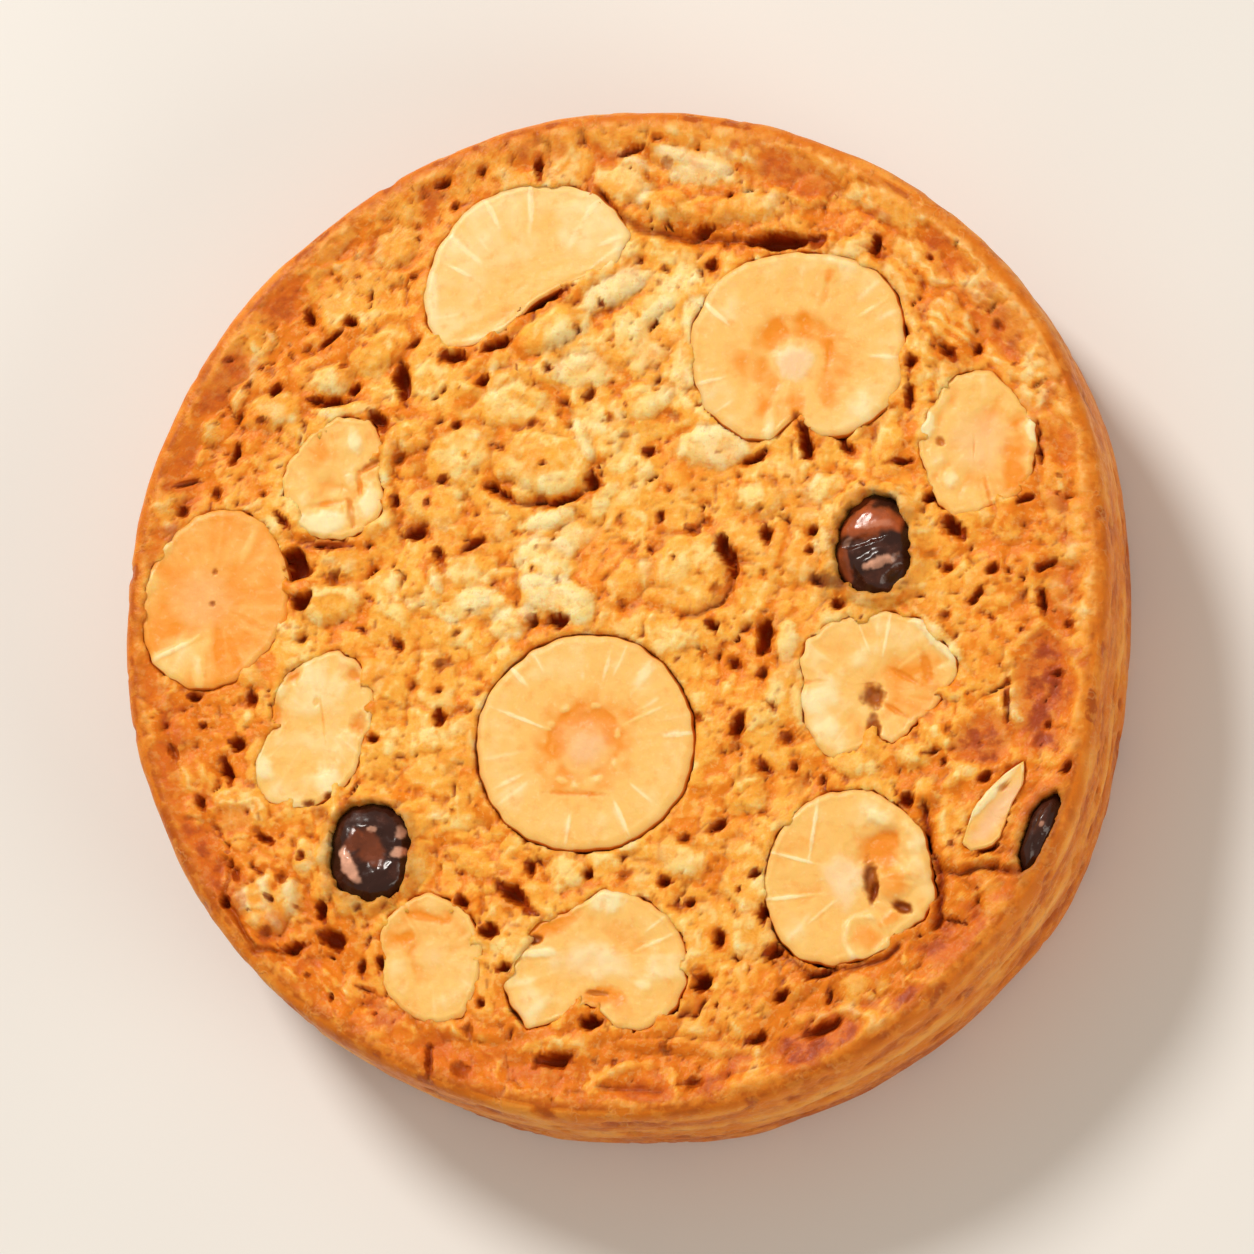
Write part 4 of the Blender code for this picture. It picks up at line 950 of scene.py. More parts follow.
def build_base(angles, outer, count):
    """The flat underside: two rings that halve the points, then a coarser grid with shallow pits."""
    parts = []
    faces = []
    for halving in (1, 2):
        angles = angles[::2]
        inset = np.full(len(angles), FOOT_INSET + BASE_RING_STEP * halving)
        inner = count + np.arange(len(angles))
        parts.append(ring_points(angles, inset, np.zeros(len(angles)), 0.0))
        faces += halving_faces(outer, inner)
        outer = inner
        count += len(angles)
    x, y, quads, edge = disc_grid(TOP_CELLS // 8)
    grid_angle = np.arctan2(y, x)
    reach = np.hypot(x, y) * (rim_reach(grid_angle) - FOOT_INSET - BASE_GRID_INSET)
    base_x = reach * np.cos(grid_angle)
    base_y = reach * np.sin(grid_angle)
    near = cells(base_x / BASE_PIT_SPACING, base_y / BASE_PIT_SPACING, 81)[0]
    pits = BASE_PIT_DEPTH * smoothstep(0.45, 0.05, near)
    pits *= np.hypot(x, y) < 0.97
    parts.append(np.stack((base_x, base_y, pits), axis=1))
    faces += (quads[:, ::-1] + count).tolist()
    turned = np.angle(np.exp(1j * (grid_angle[edge] - angles[0])))
    start = int(np.argmin(np.abs(turned)))
    inner = count + np.roll(edge, -start)
    faces += ring_faces(outer, inner)
    return parts, faces


# ---------------------------------------------------------------- hazelnut slices

# Each face: where its lines meet (mm from the middle), how many there are, where they start (mm) and how
# strong they are, how tan the face is, and how lumpy
FACES = {
    "hazelnut_top_half": ((0.6, -2.4), 20, 3.8, 0.9, -0.34, 0.3),
    "hazelnut_upper_round": ((-0.1, -0.8), 24, 4.0, 0.6, -0.04, 0.45),
    "hazelnut_middle_round": ((0.0, 0.1), 26, 3.2, 0.9, -0.02, 0.25),
    "hazelnut_left": ((-0.4, -0.2), 12, 2.4, 0.25, 0.6, 0.35),
    "hazelnut_left_pale": ((0.3, 0.6), 12, 1.6, 0.25, -0.18, 0.8),
    "hazelnut_left_small": ((-0.2, 0.6), 10, 1.2, 0.2, 0.18, 1.0),
    "hazelnut_bottom_heart": ((0.2, 0.2), 20, 2.0, 0.45, 0.04, 0.8),
    "hazelnut_lower_right": ((-0.3, 0.1), 14, 2.2, 0.45, 0.04, 0.6),
    "hazelnut_right_ragged": ((-0.3, -0.4), 18, 1.6, 0.35, 0.06, 1.0),
    "hazelnut_upper_right": ((0.2, 0.0), 14, 1.6, 0.25, 0.16, 1.0),
    "hazelnut_bottom_left": ((0.2, 0.0), 14, 1.4, 0.35, 0.18, 0.6),
    "hazelnut_rim_sliver": ((0.0, -0.5), 8, 0.5, 0.1, 0.15, 0.6),
}

# Rings of a face: middle, radius, half width, which way it opens (degrees), how far, height, tone
RINGS = {
    "hazelnut_top_half": (
        ((0.5, -1.4), 0.0, 2.6, 0, 0, -0.03, -0.55), ((0.6, -2.4), 6.6, 0.8, 0, 0, 0.04, 0.2),
    ),
    "hazelnut_upper_round": (
        ((-0.1, -0.8), 2.0, 0.75, -85, 45, -0.08, -0.5), ((-0.1, -0.8), 2.9, 1.1, 0, 0, 0.03, -0.5),
        ((0.0, 0.0), 5.3, 0.8, 0, 0, 0.05, 0.22),
    ),
    "hazelnut_middle_round": (
        ((0.0, 0.1), 1.6, 0.5, -90, 65, -0.06, -0.9), ((0.0, 0.1), 2.05, 0.3, 0, 0, -0.04, -0.5),
        ((0.0, 0.0), 2.7, 0.8, 0, 0, 0.02, -0.6), ((0.0, 0.0), 5.2, 0.9, 0, 0, 0.04, 0.24),
    ),
    "hazelnut_left": (((-0.8, 0.0), 2.3, 0.5, 60, 80, -0.03, -0.12),),
    "hazelnut_left_pale": (),
    "hazelnut_left_small": (((0.0, 1.2), 1.8, 0.35, 90, 60, -0.07, -0.25),),
    "hazelnut_bottom_heart": (((0.3, 0.2), 3.2, 0.45, 200, 90, 0.05, 0.25),),
    "hazelnut_lower_right": (((1.1, -3.7), 1.25, 0.28, 0, 0, 0.16, 0.75),),
    "hazelnut_right_ragged": (),
    "hazelnut_upper_right": (((0.1, 0.3), 2.4, 0.45, 0, 80, -0.06, -0.25),),
    "hazelnut_bottom_left": (
        ((0.0, 0.2), 2.5, 0.32, -90, 100, -0.06, -0.45), ((0.1, 0.0), 1.2, 0.3, 0, 80, -0.05, -0.3),
    ),
    "hazelnut_rim_sliver": (),
}

# Marks on a face: x, y, half length, half width, turn, height, tone (-1 orange to 1 white), and where they
# aren't 0 also pink and the painted shade of a pit
MARKS = {
    "hazelnut_top_half": (
        (-2.4, -3.6, 2.2, 0.45, 28, -0.05, -0.6), (3.4, -0.9, 2.4, 0.35, 24, -0.03, -0.5),
        (-2.4, 1.0, 2.6, 1.8, 40, 0.05, 0.15), (3.2, 2.2, 2.0, 1.0, -40, 0.05, 0.25),
        (-1.8, 3.4, 0.13, 0.9, 27, 0.03, 0.9), (0.55, 4.0, 0.15, 1.0, 4, 0.03, 1.0),
        (-3.7, -0.1, 0.1, 0.8, 62, 0.03, 0.8), (4.2, 3.4, 0.12, 0.7, -38, 0.03, 0.7),
        (5.4, 1.5, 0.12, 0.7, -68, 0.03, 0.7), (-5.3, -1.5, 0.35, 1.8, 5, 0.02, 0.45),
    ),
    "hazelnut_upper_round": (
        (-0.1, -0.8, 1.1, 1.05, 0, 0.12, 1.3, 0.9), (-1.4, 0.9, 0.8, 1.0, 20, -0.08, -0.4),
        (1.1, 1.4, 1.3, 0.4, -22, -0.06, -0.4), (1.9, -0.3, 0.2, 0.9, -6, -0.06, -0.4, 0, 0.05),
        (0.05, -3.3, 0.5, 1.3, 3, -0.04, -0.6), (-1.8, -2.8, 0.6, 1.3, -24, -0.03, -0.35),
        (1.8, -2.7, 0.6, 1.1, 24, -0.03, -0.3), (0.15, -4.6, 0.35, 0.7, 5, -0.35, -0.7, 0, 0.8),
        (1.8, 4.5, 0.65, 0.5, 0, 0.04, -0.75), (2.6, 5.2, 1.0, 0.45, -25, 0.1, 0.4),
        (1.7, 3.4, 0.25, 0.9, -10, -0.04, -0.4), (-5.0, 2.4, 1.1, 0.14, -42, 0.04, 0.9),
        (4.6, 2.4, 1.0, 0.12, 32, 0.03, 0.5), (5.2, -0.6, 1.0, 0.12, -4, 0.03, 0.5),
        (-5.2, -1.8, 1.0, 0.12, 12, 0.03, 0.6), (-1.5, -4.4, 0.35, 0.9, -8, 0.06, 0.6),
        (3.6, -3.4, 1.2, 0.8, -40, 0.05, 0.3),
    ),
    "hazelnut_middle_round": (
        (0.0, 0.0, 1.7, 1.65, 0, 0.04, -0.55, 0.35), (0.1, -0.3, 1.0, 0.9, 20, 0.03, 0.35, 0.5),
        (0.1, 1.45, 1.2, 0.4, 0, -0.04, -0.8), (-0.4, -3.0, 1.7, 0.14, -3, -0.04, -0.6, 0, 0.1),
        (-1.2, 2.05, 0.28, 0.2, 20, 0.06, 0.9), (0.6, 2.2, 0.3, 0.18, -10, 0.06, 0.9),
        (1.95, 0.5, 0.18, 0.3, 0, 0.06, 0.9), (-1.95, -0.3, 0.18, 0.28, 0, 0.06, 0.8),
        (-2.0, 1.1, 0.2, 0.26, -20, 0.06, 0.8), (-1.3, -2.2, 0.3, 0.18, -20, 0.06, 0.8),
        (-0.5, -2.55, 0.3, 0.16, 0, 0.06, 0.8), (0.8, -2.2, 0.28, 0.17, 20, 0.06, 0.8),
        (1.8, -1.2, 0.18, 0.26, -10, 0.06, 0.7), (5.6, 0.4, 0.9, 0.14, 5, 0.03, 1.0),
        (3.6, 4.2, 1.0, 0.3, 47, 0.03, 0.6), (1.2, 4.4, 0.14, 1.0, -14, 0.03, 0.7),
        (-4.1, 4.1, 0.9, 0.14, -48, 0.03, 0.9), (-3.6, 1.4, 1.8, 0.12, -22, 0.03, 0.9),
        (2.3, -4.5, 0.13, 1.3, 25, 0.03, 1.0), (-0.9, -5.2, 0.12, 0.9, -8, 0.03, 0.7),
        (3.6, 1.6, 1.4, 0.1, 24, 0.02, 0.5), (-4.4, -2.2, 1.0, 0.12, 26, 0.02, 0.5),
    ),
    "hazelnut_left": (
        (-2.4, -3.6, 1.9, 1.2, 25, 0.08, 0.9), (-2.6, -3.0, 1.7, 0.18, 25, 0.08, 0.7),
        (-0.9, -4.4, 0.35, 1.0, 5, 0.06, 0.8), (-0.8, 0.1, 1.7, 1.7, 0, 0.03, 0.15, 0.35),
        (-0.1, 1.75, 0.17, 0.15, 0, -0.15, -0.4, 0, 0.5),
        (-0.2, -0.2, 0.17, 0.15, 0, -0.15, -0.4, 0, 0.5), (0.3, -2.9, 0.3, 1.2, 5, -0.03, -0.5),
        (1.2, -3.2, 0.25, 1.3, 18, -0.02, -0.35), (2.3, -1.4, 1.2, 0.22, -28, -0.02, -0.25),
        (-3.2, 3.3, 0.4, 0.35, 0, 0.15, 1.0), (-4.0, 1.2, 0.45, 0.6, 0, 0.1, 0.5),
        (1.9, 3.2, 0.25, 1.2, -25, 0.02, 0.3),
    ),
    "hazelnut_left_pale": (
        (-2.4, 1.0, 0.55, 1.0, 5, -0.15, -1.0, 0, 0.1), (2.3, 3.2, 0.48, 0.42, 0, -0.12, -1.0, 0, 0.1),
        (2.75, 0.2, 0.5, 0.65, 0, -0.15, -1.0, 0, 0.1), (-1.4, 3.2, 0.65, 0.38, 40, -0.12, -1.0, 0, 0.1),
        (0.5, 0.6, 0.08, 1.3, 8, -0.05, -0.6), (0.1, 1.6, 0.2, 0.3, 0, -0.06, -0.6),
        (0.6, 2.4, 1.6, 1.4, 0, 0.08, 0.5), (-1.5, -2.3, 1.5, 1.0, 20, 0.05, -0.15),
        (-3.0, -2.2, 0.5, 0.9, 20, 0.08, 0.7), (0.9, -3.2, 0.8, 0.9, -20, 0.08, 0.5),
        (1.9, -1.2, 0.6, 1.2, -10, 0.06, 0.35), (-2.1, 2.2, 0.35, 0.7, -35, 0.1, 0.5),
        (1.0, -4.1, 0.26, 0.22, 0, -0.35, -0.8, 0, 0.9), (-0.2, -4.5, 0.32, 0.2, 10, -0.3, -0.8, 0, 0.8),
    ),
    "hazelnut_left_small": (
        (-0.5, -2.7, 1.4, 0.8, 0, 0.14, 1.2), (2.0, -1.5, 0.7, 1.05, -20, 0.14, 1.2),
        (0.9, -0.3, 0.5, 0.5, 0, 0.1, 0.7), (1.1, 2.2, 0.5, 0.7, 20, 0.08, 0.8),
        (2.1, 0.7, 0.8, 0.2, 30, -0.18, -1.0, 0, 0.3), (1.35, -0.4, 0.18, 0.7, 10, -0.1, -0.8, 0, 0.1),
        (-0.6, 1.6, 2.0, 1.5, 35, 0.05, -0.15), (-2.0, -0.9, 0.9, 1.1, 30, 0.1, 0.45),
        (0.9, -2.2, 0.22, 0.9, 10, -0.14, -0.9, 0, 0.2), (-0.6, -1.6, 1.2, 0.2, 10, -0.08, -0.5),
    ),
    "hazelnut_bottom_heart": (
        (-0.4, -0.2, 2.3, 1.0, 0, 0.07, 0.75, 0.3), (0.3, 3.3, 1.1, 0.7, 20, 0.08, 0.9),
        (-3.0, 2.0, 1.7, 0.75, 22, -0.06, -0.9), (-3.8, 1.15, 0.42, 0.28, 0, -0.25, -0.9, 0, 0.8),
        (-3.6, 0.35, 1.2, 0.28, 4, 0.1, 1.0), (-4.1, -2.5, 1.4, 1.3, 20, 0.1, 0.75),
        (0.2, -2.3, 1.2, 0.6, 5, -0.06, -0.8), (0.0, -2.05, 0.65, 0.17, -4, -0.1, -0.7, 0, 0.5),
        (1.6, -3.2, 0.7, 0.9, 30, 0.08, -0.3), (3.6, 1.0, 1.5, 0.12, 24, 0.03, 0.8),
        (3.9, -0.6, 1.4, 1.6, 0, 0.06, 0.25), (2.6, -1.6, 0.6, 0.25, -20, 0.03, 0.5),
        (1.2, 1.6, 1.4, 0.8, 10, -0.02, -0.3), (3.4, 2.0, 1.0, 0.1, 40, 0.02, 0.5),
    ),
    "hazelnut_lower_right": (
        (-0.3, -0.3, 1.1, 1.6, 0, 0.06, 0.8, 0.5), (1.3, -0.3, 0.42, 1.1, 8, -0.45, -1.0, 0, 0.75),
        (1.5, -0.9, 0.22, 0.7, -14, -0.25, -0.5, 0, 0.95),
        (3.2, -1.9, 0.6, 0.32, -20, -0.4, -1.0, 0, 0.9), (1.9, 1.7, 1.5, 1.2, 20, -0.24, -0.95, 0, 0.05),
        (2.6, -0.5, 0.9, 0.9, 0, 0.26, -0.55), (2.1, 3.2, 1.1, 0.5, -30, 0.2, 0.5),
        (1.1, -3.7, 0.9, 0.7, -10, 0.04, -0.45), (-3.3, 2.2, 1.3, 1.1, 50, -0.02, -0.55),
        (-3.35, 1.1, 1.4, 0.12, -15, 0.05, 1.1), (-2.1, 2.7, 0.12, 1.7, -8, 0.05, 1.1),
        (-3.7, -1.25, 1.6, 0.13, 5, 0.05, 1.1), (-1.6, -2.2, 1.1, 0.1, 40, 0.03, 0.6),
        (1.2, 3.6, 1.8, 1.0, -10, 0.06, 0.35), (3.7, 2.2, 0.8, 1.0, 10, 0.22, 0.5),
        (4.0, 0.4, 0.8, 0.9, 10, 0.2, 0.2), (2.6, -2.6, 0.8, 0.4, 30, 0.05, -0.7),
        (-2.9, -3.2, 1.3, 1.0, -40, 0.05, 0.35),
    ),
    "hazelnut_right_ragged": (
        (-0.2, -0.8, 0.62, 0.6, 0, -0.5, -1.0, 0, 0.75), (-0.1, -3.0, 0.36, 1.1, 4, -0.35, -1.0, 0, 0.75),
        (3.8, 2.3, 2.3, 0.45, -46, 0.16, 1.2), (-3.2, -1.3, 1.3, 1.7, 0, 0.1, 0.75),
        (-2.4, -3.2, 1.2, 1.0, 0, 0.08, 0.65), (2.2, -0.6, 2.1, 2.2, 10, -0.06, -0.45),
        (1.6, 0.4, 0.9, 0.18, -30, -0.1, -0.5, 0, 0.1), (2.9, 0.9, 0.3, 0.9, 15, -0.12, -0.6, 0, 0.1),
        (1.0, -1.6, 0.9, 0.16, -32, -0.08, -0.5, 0, 0.1), (-0.4, 2.4, 2.0, 1.3, 0, 0.07, 0.35),
        (-0.9, 3.0, 0.1, 1.1, 22, 0.03, 0.6), (0.6, 2.9, 0.1, 1.2, -10, 0.03, 0.7),
        (-3.4, 1.2, 0.9, 0.9, 0, 0.06, 0.35), (-3.9, 0.1, 1.0, 0.12, 4, -0.04, -0.5, 0, 0.1),
    ),
    "hazelnut_upper_right": (
        (-2.9, 1.2, 0.6, 0.9, 0, 0.12, 1.2), (3.5, 0.7, 0.45, 0.8, 0, 0.1, 1.2),
        (-1.4, -2.2, 0.6, 0.6, 0, 0.12, 0.9), (0.3, 0.0, 1.6, 1.8, 0, 0.04, 0.15, 0.5),
        (0.0, 3.0, 1.3, 1.0, 0, 0.08, 0.3), (-2.0, 0.1, 0.25, 0.3, 0, -0.15, -0.9, 0, 0.5),
        (2.4, -1.6, 0.7, 1.4, 10, -0.03, -0.65), (0.9, -3.2, 0.14, 0.9, 15, -0.04, -0.6, 0, 0.1),
        (-0.2, -3.4, 0.9, 0.8, 0, 0.08, 0.25), (-2.2, -0.9, 0.5, 0.9, 20, 0.1, 0.45),
        (0.0, -0.3, 0.07, 0.5, 0, -0.05, -0.5), (-1.9, 2.5, 0.8, 0.25, 55, 0.06, 0.5),
        (2.6, 1.4, 0.5, 0.8, -30, -0.03, -0.5),
    ),
    "hazelnut_bottom_left": (
        (0.0, 2.3, 1.3, 0.25, -12, -0.08, -0.8), (0.2, 0.0, 0.9, 0.9, 0, 0.05, 0.35, 0.2),
        (-1.6, -1.2, 0.8, 1.5, 20, 0.06, 0.45), (1.8, -1.4, 0.9, 1.6, -10, 0.06, 0.4),
        (0.2, 3.2, 1.0, 0.5, 0, 0.06, 0.5), (-1.4, 1.2, 0.5, 0.4, 20, -0.08, -0.7),
    ),
    "hazelnut_rim_sliver": (
        (-0.3, 0.9, 2.9, 0.24, 49, 0.1, 1.2), (0.4, 0.2, 2.4, 0.55, 52, -0.03, 0.25, 1.0),
        (0.6, 1.5, 0.35, 0.2, 30, -0.12, -0.9, 0, 0.4), (-0.8, -1.2, 0.8, 0.7, 40, 0.05, -0.2),
        (1.9, 2.7, 0.3, 0.25, 40, 0.05, 1.3),
    ),
}
SIDES_A_MM = 28                  # half the sides of a slice, for each millimetre of its reach
SLICE_RINGS = 46
SLICE_BACK = ((0.999, -0.10), (1.008, -0.30), (1.008, -0.60), (0.99, -1.2), (0.965, -2.4), (0.62, -3.9))
SLICE_DEPTH = 4.4
SLICE_FACE = 0.99                # share of the outline that the face takes up
SLICE_DISH = 0.10                # how far the middle of a face lies lower
SLICE_SEED = 100
SLICE_CLEAR = 0.01               # between a slice and its outline
SLICE_RAGGED = 0.020            # share by which its edge wavers, more for a lumpy one


def build_set_in(name, suffix, edge, share, height, layers, back, depth, material):
    """A set-in piece: a finely ringed face, over rings that narrow to a point underneath."""
    middle, top, _ = SET_IN[name]
    sides = len(edge)
    angles = ring_angles(sides)
    face_x, face_y, _ = face_points(edge, share)
    parts = [np.stack((middle[0] + face_x, middle[1] + face_y, top + height), axis=1)]
    rim = height[-sides:]
    for out, drop in back:
        low = drop + rim * smoothstep(-1.2, 0.0, drop)
        parts.append(np.stack((
            middle[0] + out * edge * np.cos(angles), middle[1] + out * edge * np.sin(angles), top + low,
        ), axis=1))
    parts.append(np.array([[middle[0], middle[1], top - depth]]))
    points = np.concatenate(parts)
    rings = [1 + np.arange(sides) + sides * place for place in range(len(share) + len(back))]
    faces = [(0, int(first), int(last)) for first, last in zip(rings[0], np.roll(rings[0], -1))]
    for inner, outer in zip(rings, rings[1:]):
        faces += ring_faces(inner, outer)
    last_point = len(points) - 1
    faces += [(last_point, int(last), int(first)) for first, last in zip(rings[-1], np.roll(rings[-1], -1))]
    extra = len(points) - len(face_x)
    for layer in layers:
        layers[layer] = np.concatenate((layers[layer], np.full(extra, 1.0 if layer == "skin" else 0.0)))
    return new_object(name + suffix, points, faces, material, layers)


def face_points(edge, share):
    """The points of a face, its middle and then ring by ring, and each one's share of the outline."""
    angles = ring_angles(len(edge))
    x = np.concatenate([[0.0]] + [part * edge * np.cos(angles) for part in share])
    y = np.concatenate([[0.0]] + [part * edge * np.sin(angles) for part in share])
    return x, y, np.concatenate([[0.0]] + [np.full(len(edge), part) for part in share])


def build_slice(name, material, seed):
    """One nut slice, its edge a little ragged."""
    reach = SLICES[name][2]
    angles = ring_angles(2 * round(SIDES_A_MM * float(reach(DIRECTIONS).mean())))
    around_x = 3.0 * np.cos(angles) + seed * 0.37
    around_y = 3.0 * np.sin(angles)
    ragged = grain(around_x, around_y, seed) + 0.5 * grain(around_x * 2.7, around_y * 2.7, seed + 1)
    uneven = SLICE_RAGGED * (0.5 + 1.8 * FACES[name][5])
    edge = (reach(angles) - SLICE_CLEAR) * (1.0 - uneven * (0.7 - ragged))
    share = np.linspace(0.0, SLICE_FACE, SLICE_RINGS + 1)[1:]
    height, layers = slice_face(*face_points(edge, share), name, seed)
    return build_set_in(name, "_cut", edge, share, height, layers, SLICE_BACK, SLICE_DEPTH, material)


def spokes(x, y, count, start, seed):
    """Fine pale lines that run outwards, uneven in spacing, length and strength."""
    line = np.zeros(len(x))
    ranks = np.arange(count)
    turns = TAU * (ranks + 0.8 * (hashed(ranks, 1, seed) - 0.5)) / count
    firsts = start + 1.6 * hashed(ranks, 2, seed) ** 2
    lasts = 3.5 + 5.0 * hashed(ranks, 3, seed)
    widths = 0.07 + 0.12 * hashed(ranks, 4, seed)
    strengths = 0.15 + 0.85 * hashed(ranks, 5, seed) ** 1.5
    for turn, first, last, width, strength in zip(turns, firsts, lasts, widths, strengths):
        along, across = turned(x, y, turn)
        across = across + 0.10 * grain(along / 1.6, np.full(len(along), turn * 5.0), seed)
        shown = smoothstep(first, first + 0.6, along) * smoothstep(last + 0.5, last - 0.5, along)
        line = np.maximum(line, strength * shown * np.exp(-(across / width) ** 2))
    return line


def slice_face(x, y, out, name, seed):
    """Height of a face above its level, and the layers that colour it."""
    hub, line_count, line_start, line_strength, tan, lumpy = FACES[name]
    from_x = x - hub[0]
    from_y = y - hub[1]
    line = spokes(from_x, from_y, line_count, line_start, seed) * line_strength * smoothstep(1.0, 0.93, out)
    angle = np.arctan2(from_y, from_x)
    ray = round_noise(angle, 3.0, seed + 11) + 0.7 * round_noise(angle, 7.0, seed + 12)
    ray *= smoothstep(0.2, 0.7, out)
    lumps = spots(x, y, 1.7, seed + 3) + 0.5 * spots(x, y, 0.75, seed + 4)
    near, second, _, known, other = cells(x / 1.9 + 0.3 * lumps, y / 1.9, seed + 7)
    facet = (known - 0.5) + 0.5 * (other - known) * smoothstep(0.3, 0.0, second - near)
    height = -SLICE_DISH * smoothstep(0.9, 0.0, out) + lumpy * (0.055 * lumps + 0.05 * facet)
    height += 0.012 * spots(x, y, 0.5, seed + 5) + 0.022 * line
    tone = 0.5 - 0.5 * tan + 0.16 * lumps * (0.4 + lumpy) + 0.14 * facet * (0.3 + lumpy)
    tone = tone + 0.40 * line + 0.10 * ray
    pink = np.zeros(len(x))
    pit = np.zeros(len(x))
    waver = spots(x, y, 1.2, seed + 6)
    for middle, radius, width, opening, span, rise, change in RINGS[name]:
        apart = np.hypot(x - middle[0], y - middle[1]) + 0.22 * waver - radius
        turn = np.degrees(np.arctan2(y - middle[1], x - middle[0])) - opening
        turn = np.abs((turn + 180.0) % 360.0 - 180.0)
        shown = smoothstep(span - 25.0, span + 25.0, turn) if span else 1.0
        ring = bump(apart, 0.0, width) * shown * (0.75 + 0.5 * spots(x, y, 0.8, seed + 8))
        height += rise * ring
        tone += 0.5 * change * ring
    for row, share, beside in ovals(x, y, MARKS[name], MARK_WAVER, seed):
        rise, change, pinker, painted_shade_share = (*row[5:], 0, 0)[:4]
        inside = smoothstep(1.45, 0.35, share)
        height[beside] += rise * inside
        tone[beside] += 0.5 * change * inside
        pink[beside] += pinker * inside
        # Painted shade in the pits of the marks
        pit[beside] = np.maximum(pit[beside], painted_shade_share * smoothstep(1.38, 0.70, share))
    edge = smoothstep(0.945, 1.0, out) * smoothstep(-0.5, 0.5, round_noise(angle, 1.5, seed + 13))
    height -= 0.06 * smoothstep(0.90, 1.0, out) ** 2
    height += 0.03 * bump(out, 0.93, 0.03) * (1.0 + spots(x, y, 1.1, seed + 9))
    return height, {"tone": tone, "pink": np.clip(pink, 0.0, 1.0), "pit": pit, "skin": 0.35 * edge}


# ---------------------------------------------------------------- chocolate drops

# Folds and hollows of a drop: x, y, half length, half width, turn, height
FOLDS = {
    "chocolate_right": (
        (0.3, -0.9, 1.5, 0.5, 22, 0.22), (-0.2, 1.5, 1.9, 0.9, 8, 0.18),
        (-0.6, 0.25, 1.4, 0.3, 14, -0.25), (1.3, -1.9, 0.9, 0.5, 40, -0.22),
        (-1.2, -1.9, 0.9, 0.5, -40, -0.15), (-0.8, 2.5, 0.8, 0.35, 30, -0.15),
    ),
    "chocolate_left": (
        (0.2, 0.0, 1.15, 1.25, 0, -0.3), (-1.1, -0.9, 1.2, 0.55, -62, 0.16),
        (0.3, 1.3, 1.1, 0.3, -10, 0.08), (1.8, 0.1, 0.4, 1.0, 0, 0.12), (0.9, -2.2, 1.2, 0.5, 10, 0.12),
    ),
    "chocolate_rim": ((0.2, 0.5, 0.3, 1.2, -20, 0.15), (-0.2, -0.9, 0.3, 0.9, -20, -0.12)),
}
# Reddish, lit-through parts: x, y, half length, half width, turn, strength
GLOWS = {
    "chocolate_right": (
        (-0.2, 1.35, 1.9, 0.85, 8, 1.0), (-0.8, 2.4, 0.9, 0.4, 20, 0.45), (-1.7, -1.0, 0.4, 1.1, 10, 0.5),
    ),
    "chocolate_left": ((0.25, 0.1, 0.75, 1.1, 12, 0.35), (-0.9, 0.6, 0.5, 0.8, -30, 0.3)),
    "chocolate_rim": (),
}
# Painted highlights, pale pink: x, y, half length, half width, turn, strength
DROP_HIGHLIGHTS = {
    "chocolate_right": (
        (0.5, -1.05, 1.0, 0.27, 21, 0.85), (-1.5, 0.2, 0.35, 0.18, 40, 0.3),
        (0.1, 1.2, 1.2, 0.22, 6, 0.3),
    ),
    "chocolate_left": (
        (-1.1, -0.9, 1.05, 0.42, -64, 1.0), (0.2, 1.3, 0.32, 0.15, 0, 0.7),
        (1.8, -0.1, 0.42, 0.3, 20, 0.9), (1.9, 1.1, 0.3, 0.38, 0, 0.55),
    ),
    "chocolate_rim": ((0.15, 0.3, 0.14, 0.18, -24, 0.5),),
}
DROP_SIDES = 160
DROP_RINGS = 44
DROP_BACK = ((1.0, -0.15), (0.99, -0.45), (0.93, -1.0), (0.6, -1.7))
DROP_DEPTH = 3.1
DROP_SEED = 300
DROP_CLEAR = 0.02                # between a drop and its outline
DROP_RAGGED = 0.02               # share by which its edge wavers


def build_drop(name, material, seed):
    """A chocolate drop: a soft crown with folds, and its colour layers."""
    angles = ring_angles(DROP_SIDES)
    ragged = grain(2.0 * np.cos(angles) + seed, 2.0 * np.sin(angles), seed)
    edge = (DROPS[name][2](angles) - DROP_CLEAR) * (1.0 + DROP_RAGGED * ragged)
    share = np.sin(np.linspace(0.0, math.pi / 2, DROP_RINGS + 1)[1:])
    x, y, out = face_points(edge, share)
    height = -DROP_RING_BELOW * (1.0 - np.sqrt(np.clip(1.0 - out ** 2.4, 0.0, 1.0)))
    height += 0.07 * spots(x, y, 1.3, seed + 1) + 0.015 * spots(x, y, 0.35, seed + 2)
    layers = {"glow": np.zeros(len(x)), "bloom": np.zeros(len(x))}
    inner = smoothstep(1.0, 0.8, out)
    for row, part, near in ovals(x, y, FOLDS[name], FOLD_WAVER, seed):
        height[near] += row[5] * smoothstep(1.3, 0.4, part) * inner[near]
    # Reddish lit-through parts, and painted highlights
    for layer, rows in (("glow", GLOWS[name]), ("bloom", DROP_HIGHLIGHTS[name])):
        for row, part, near in ovals(x, y, rows, COLOUR_WAVER, seed):
            layers[layer][near] += row[5] * smoothstep(1.25, 0.7, part)
    back = tuple((out_share, drop - DROP_RING_BELOW) for out_share, drop in DROP_BACK)
    return build_set_in(name, "_drop", edge, share, height, layers, back, DROP_DEPTH, material)


# ---------------------------------------------------------------- materials

SCATTER = (1.0, 0.42, 0.12)      # how far red, green and blue light spreads, as shares of the depth


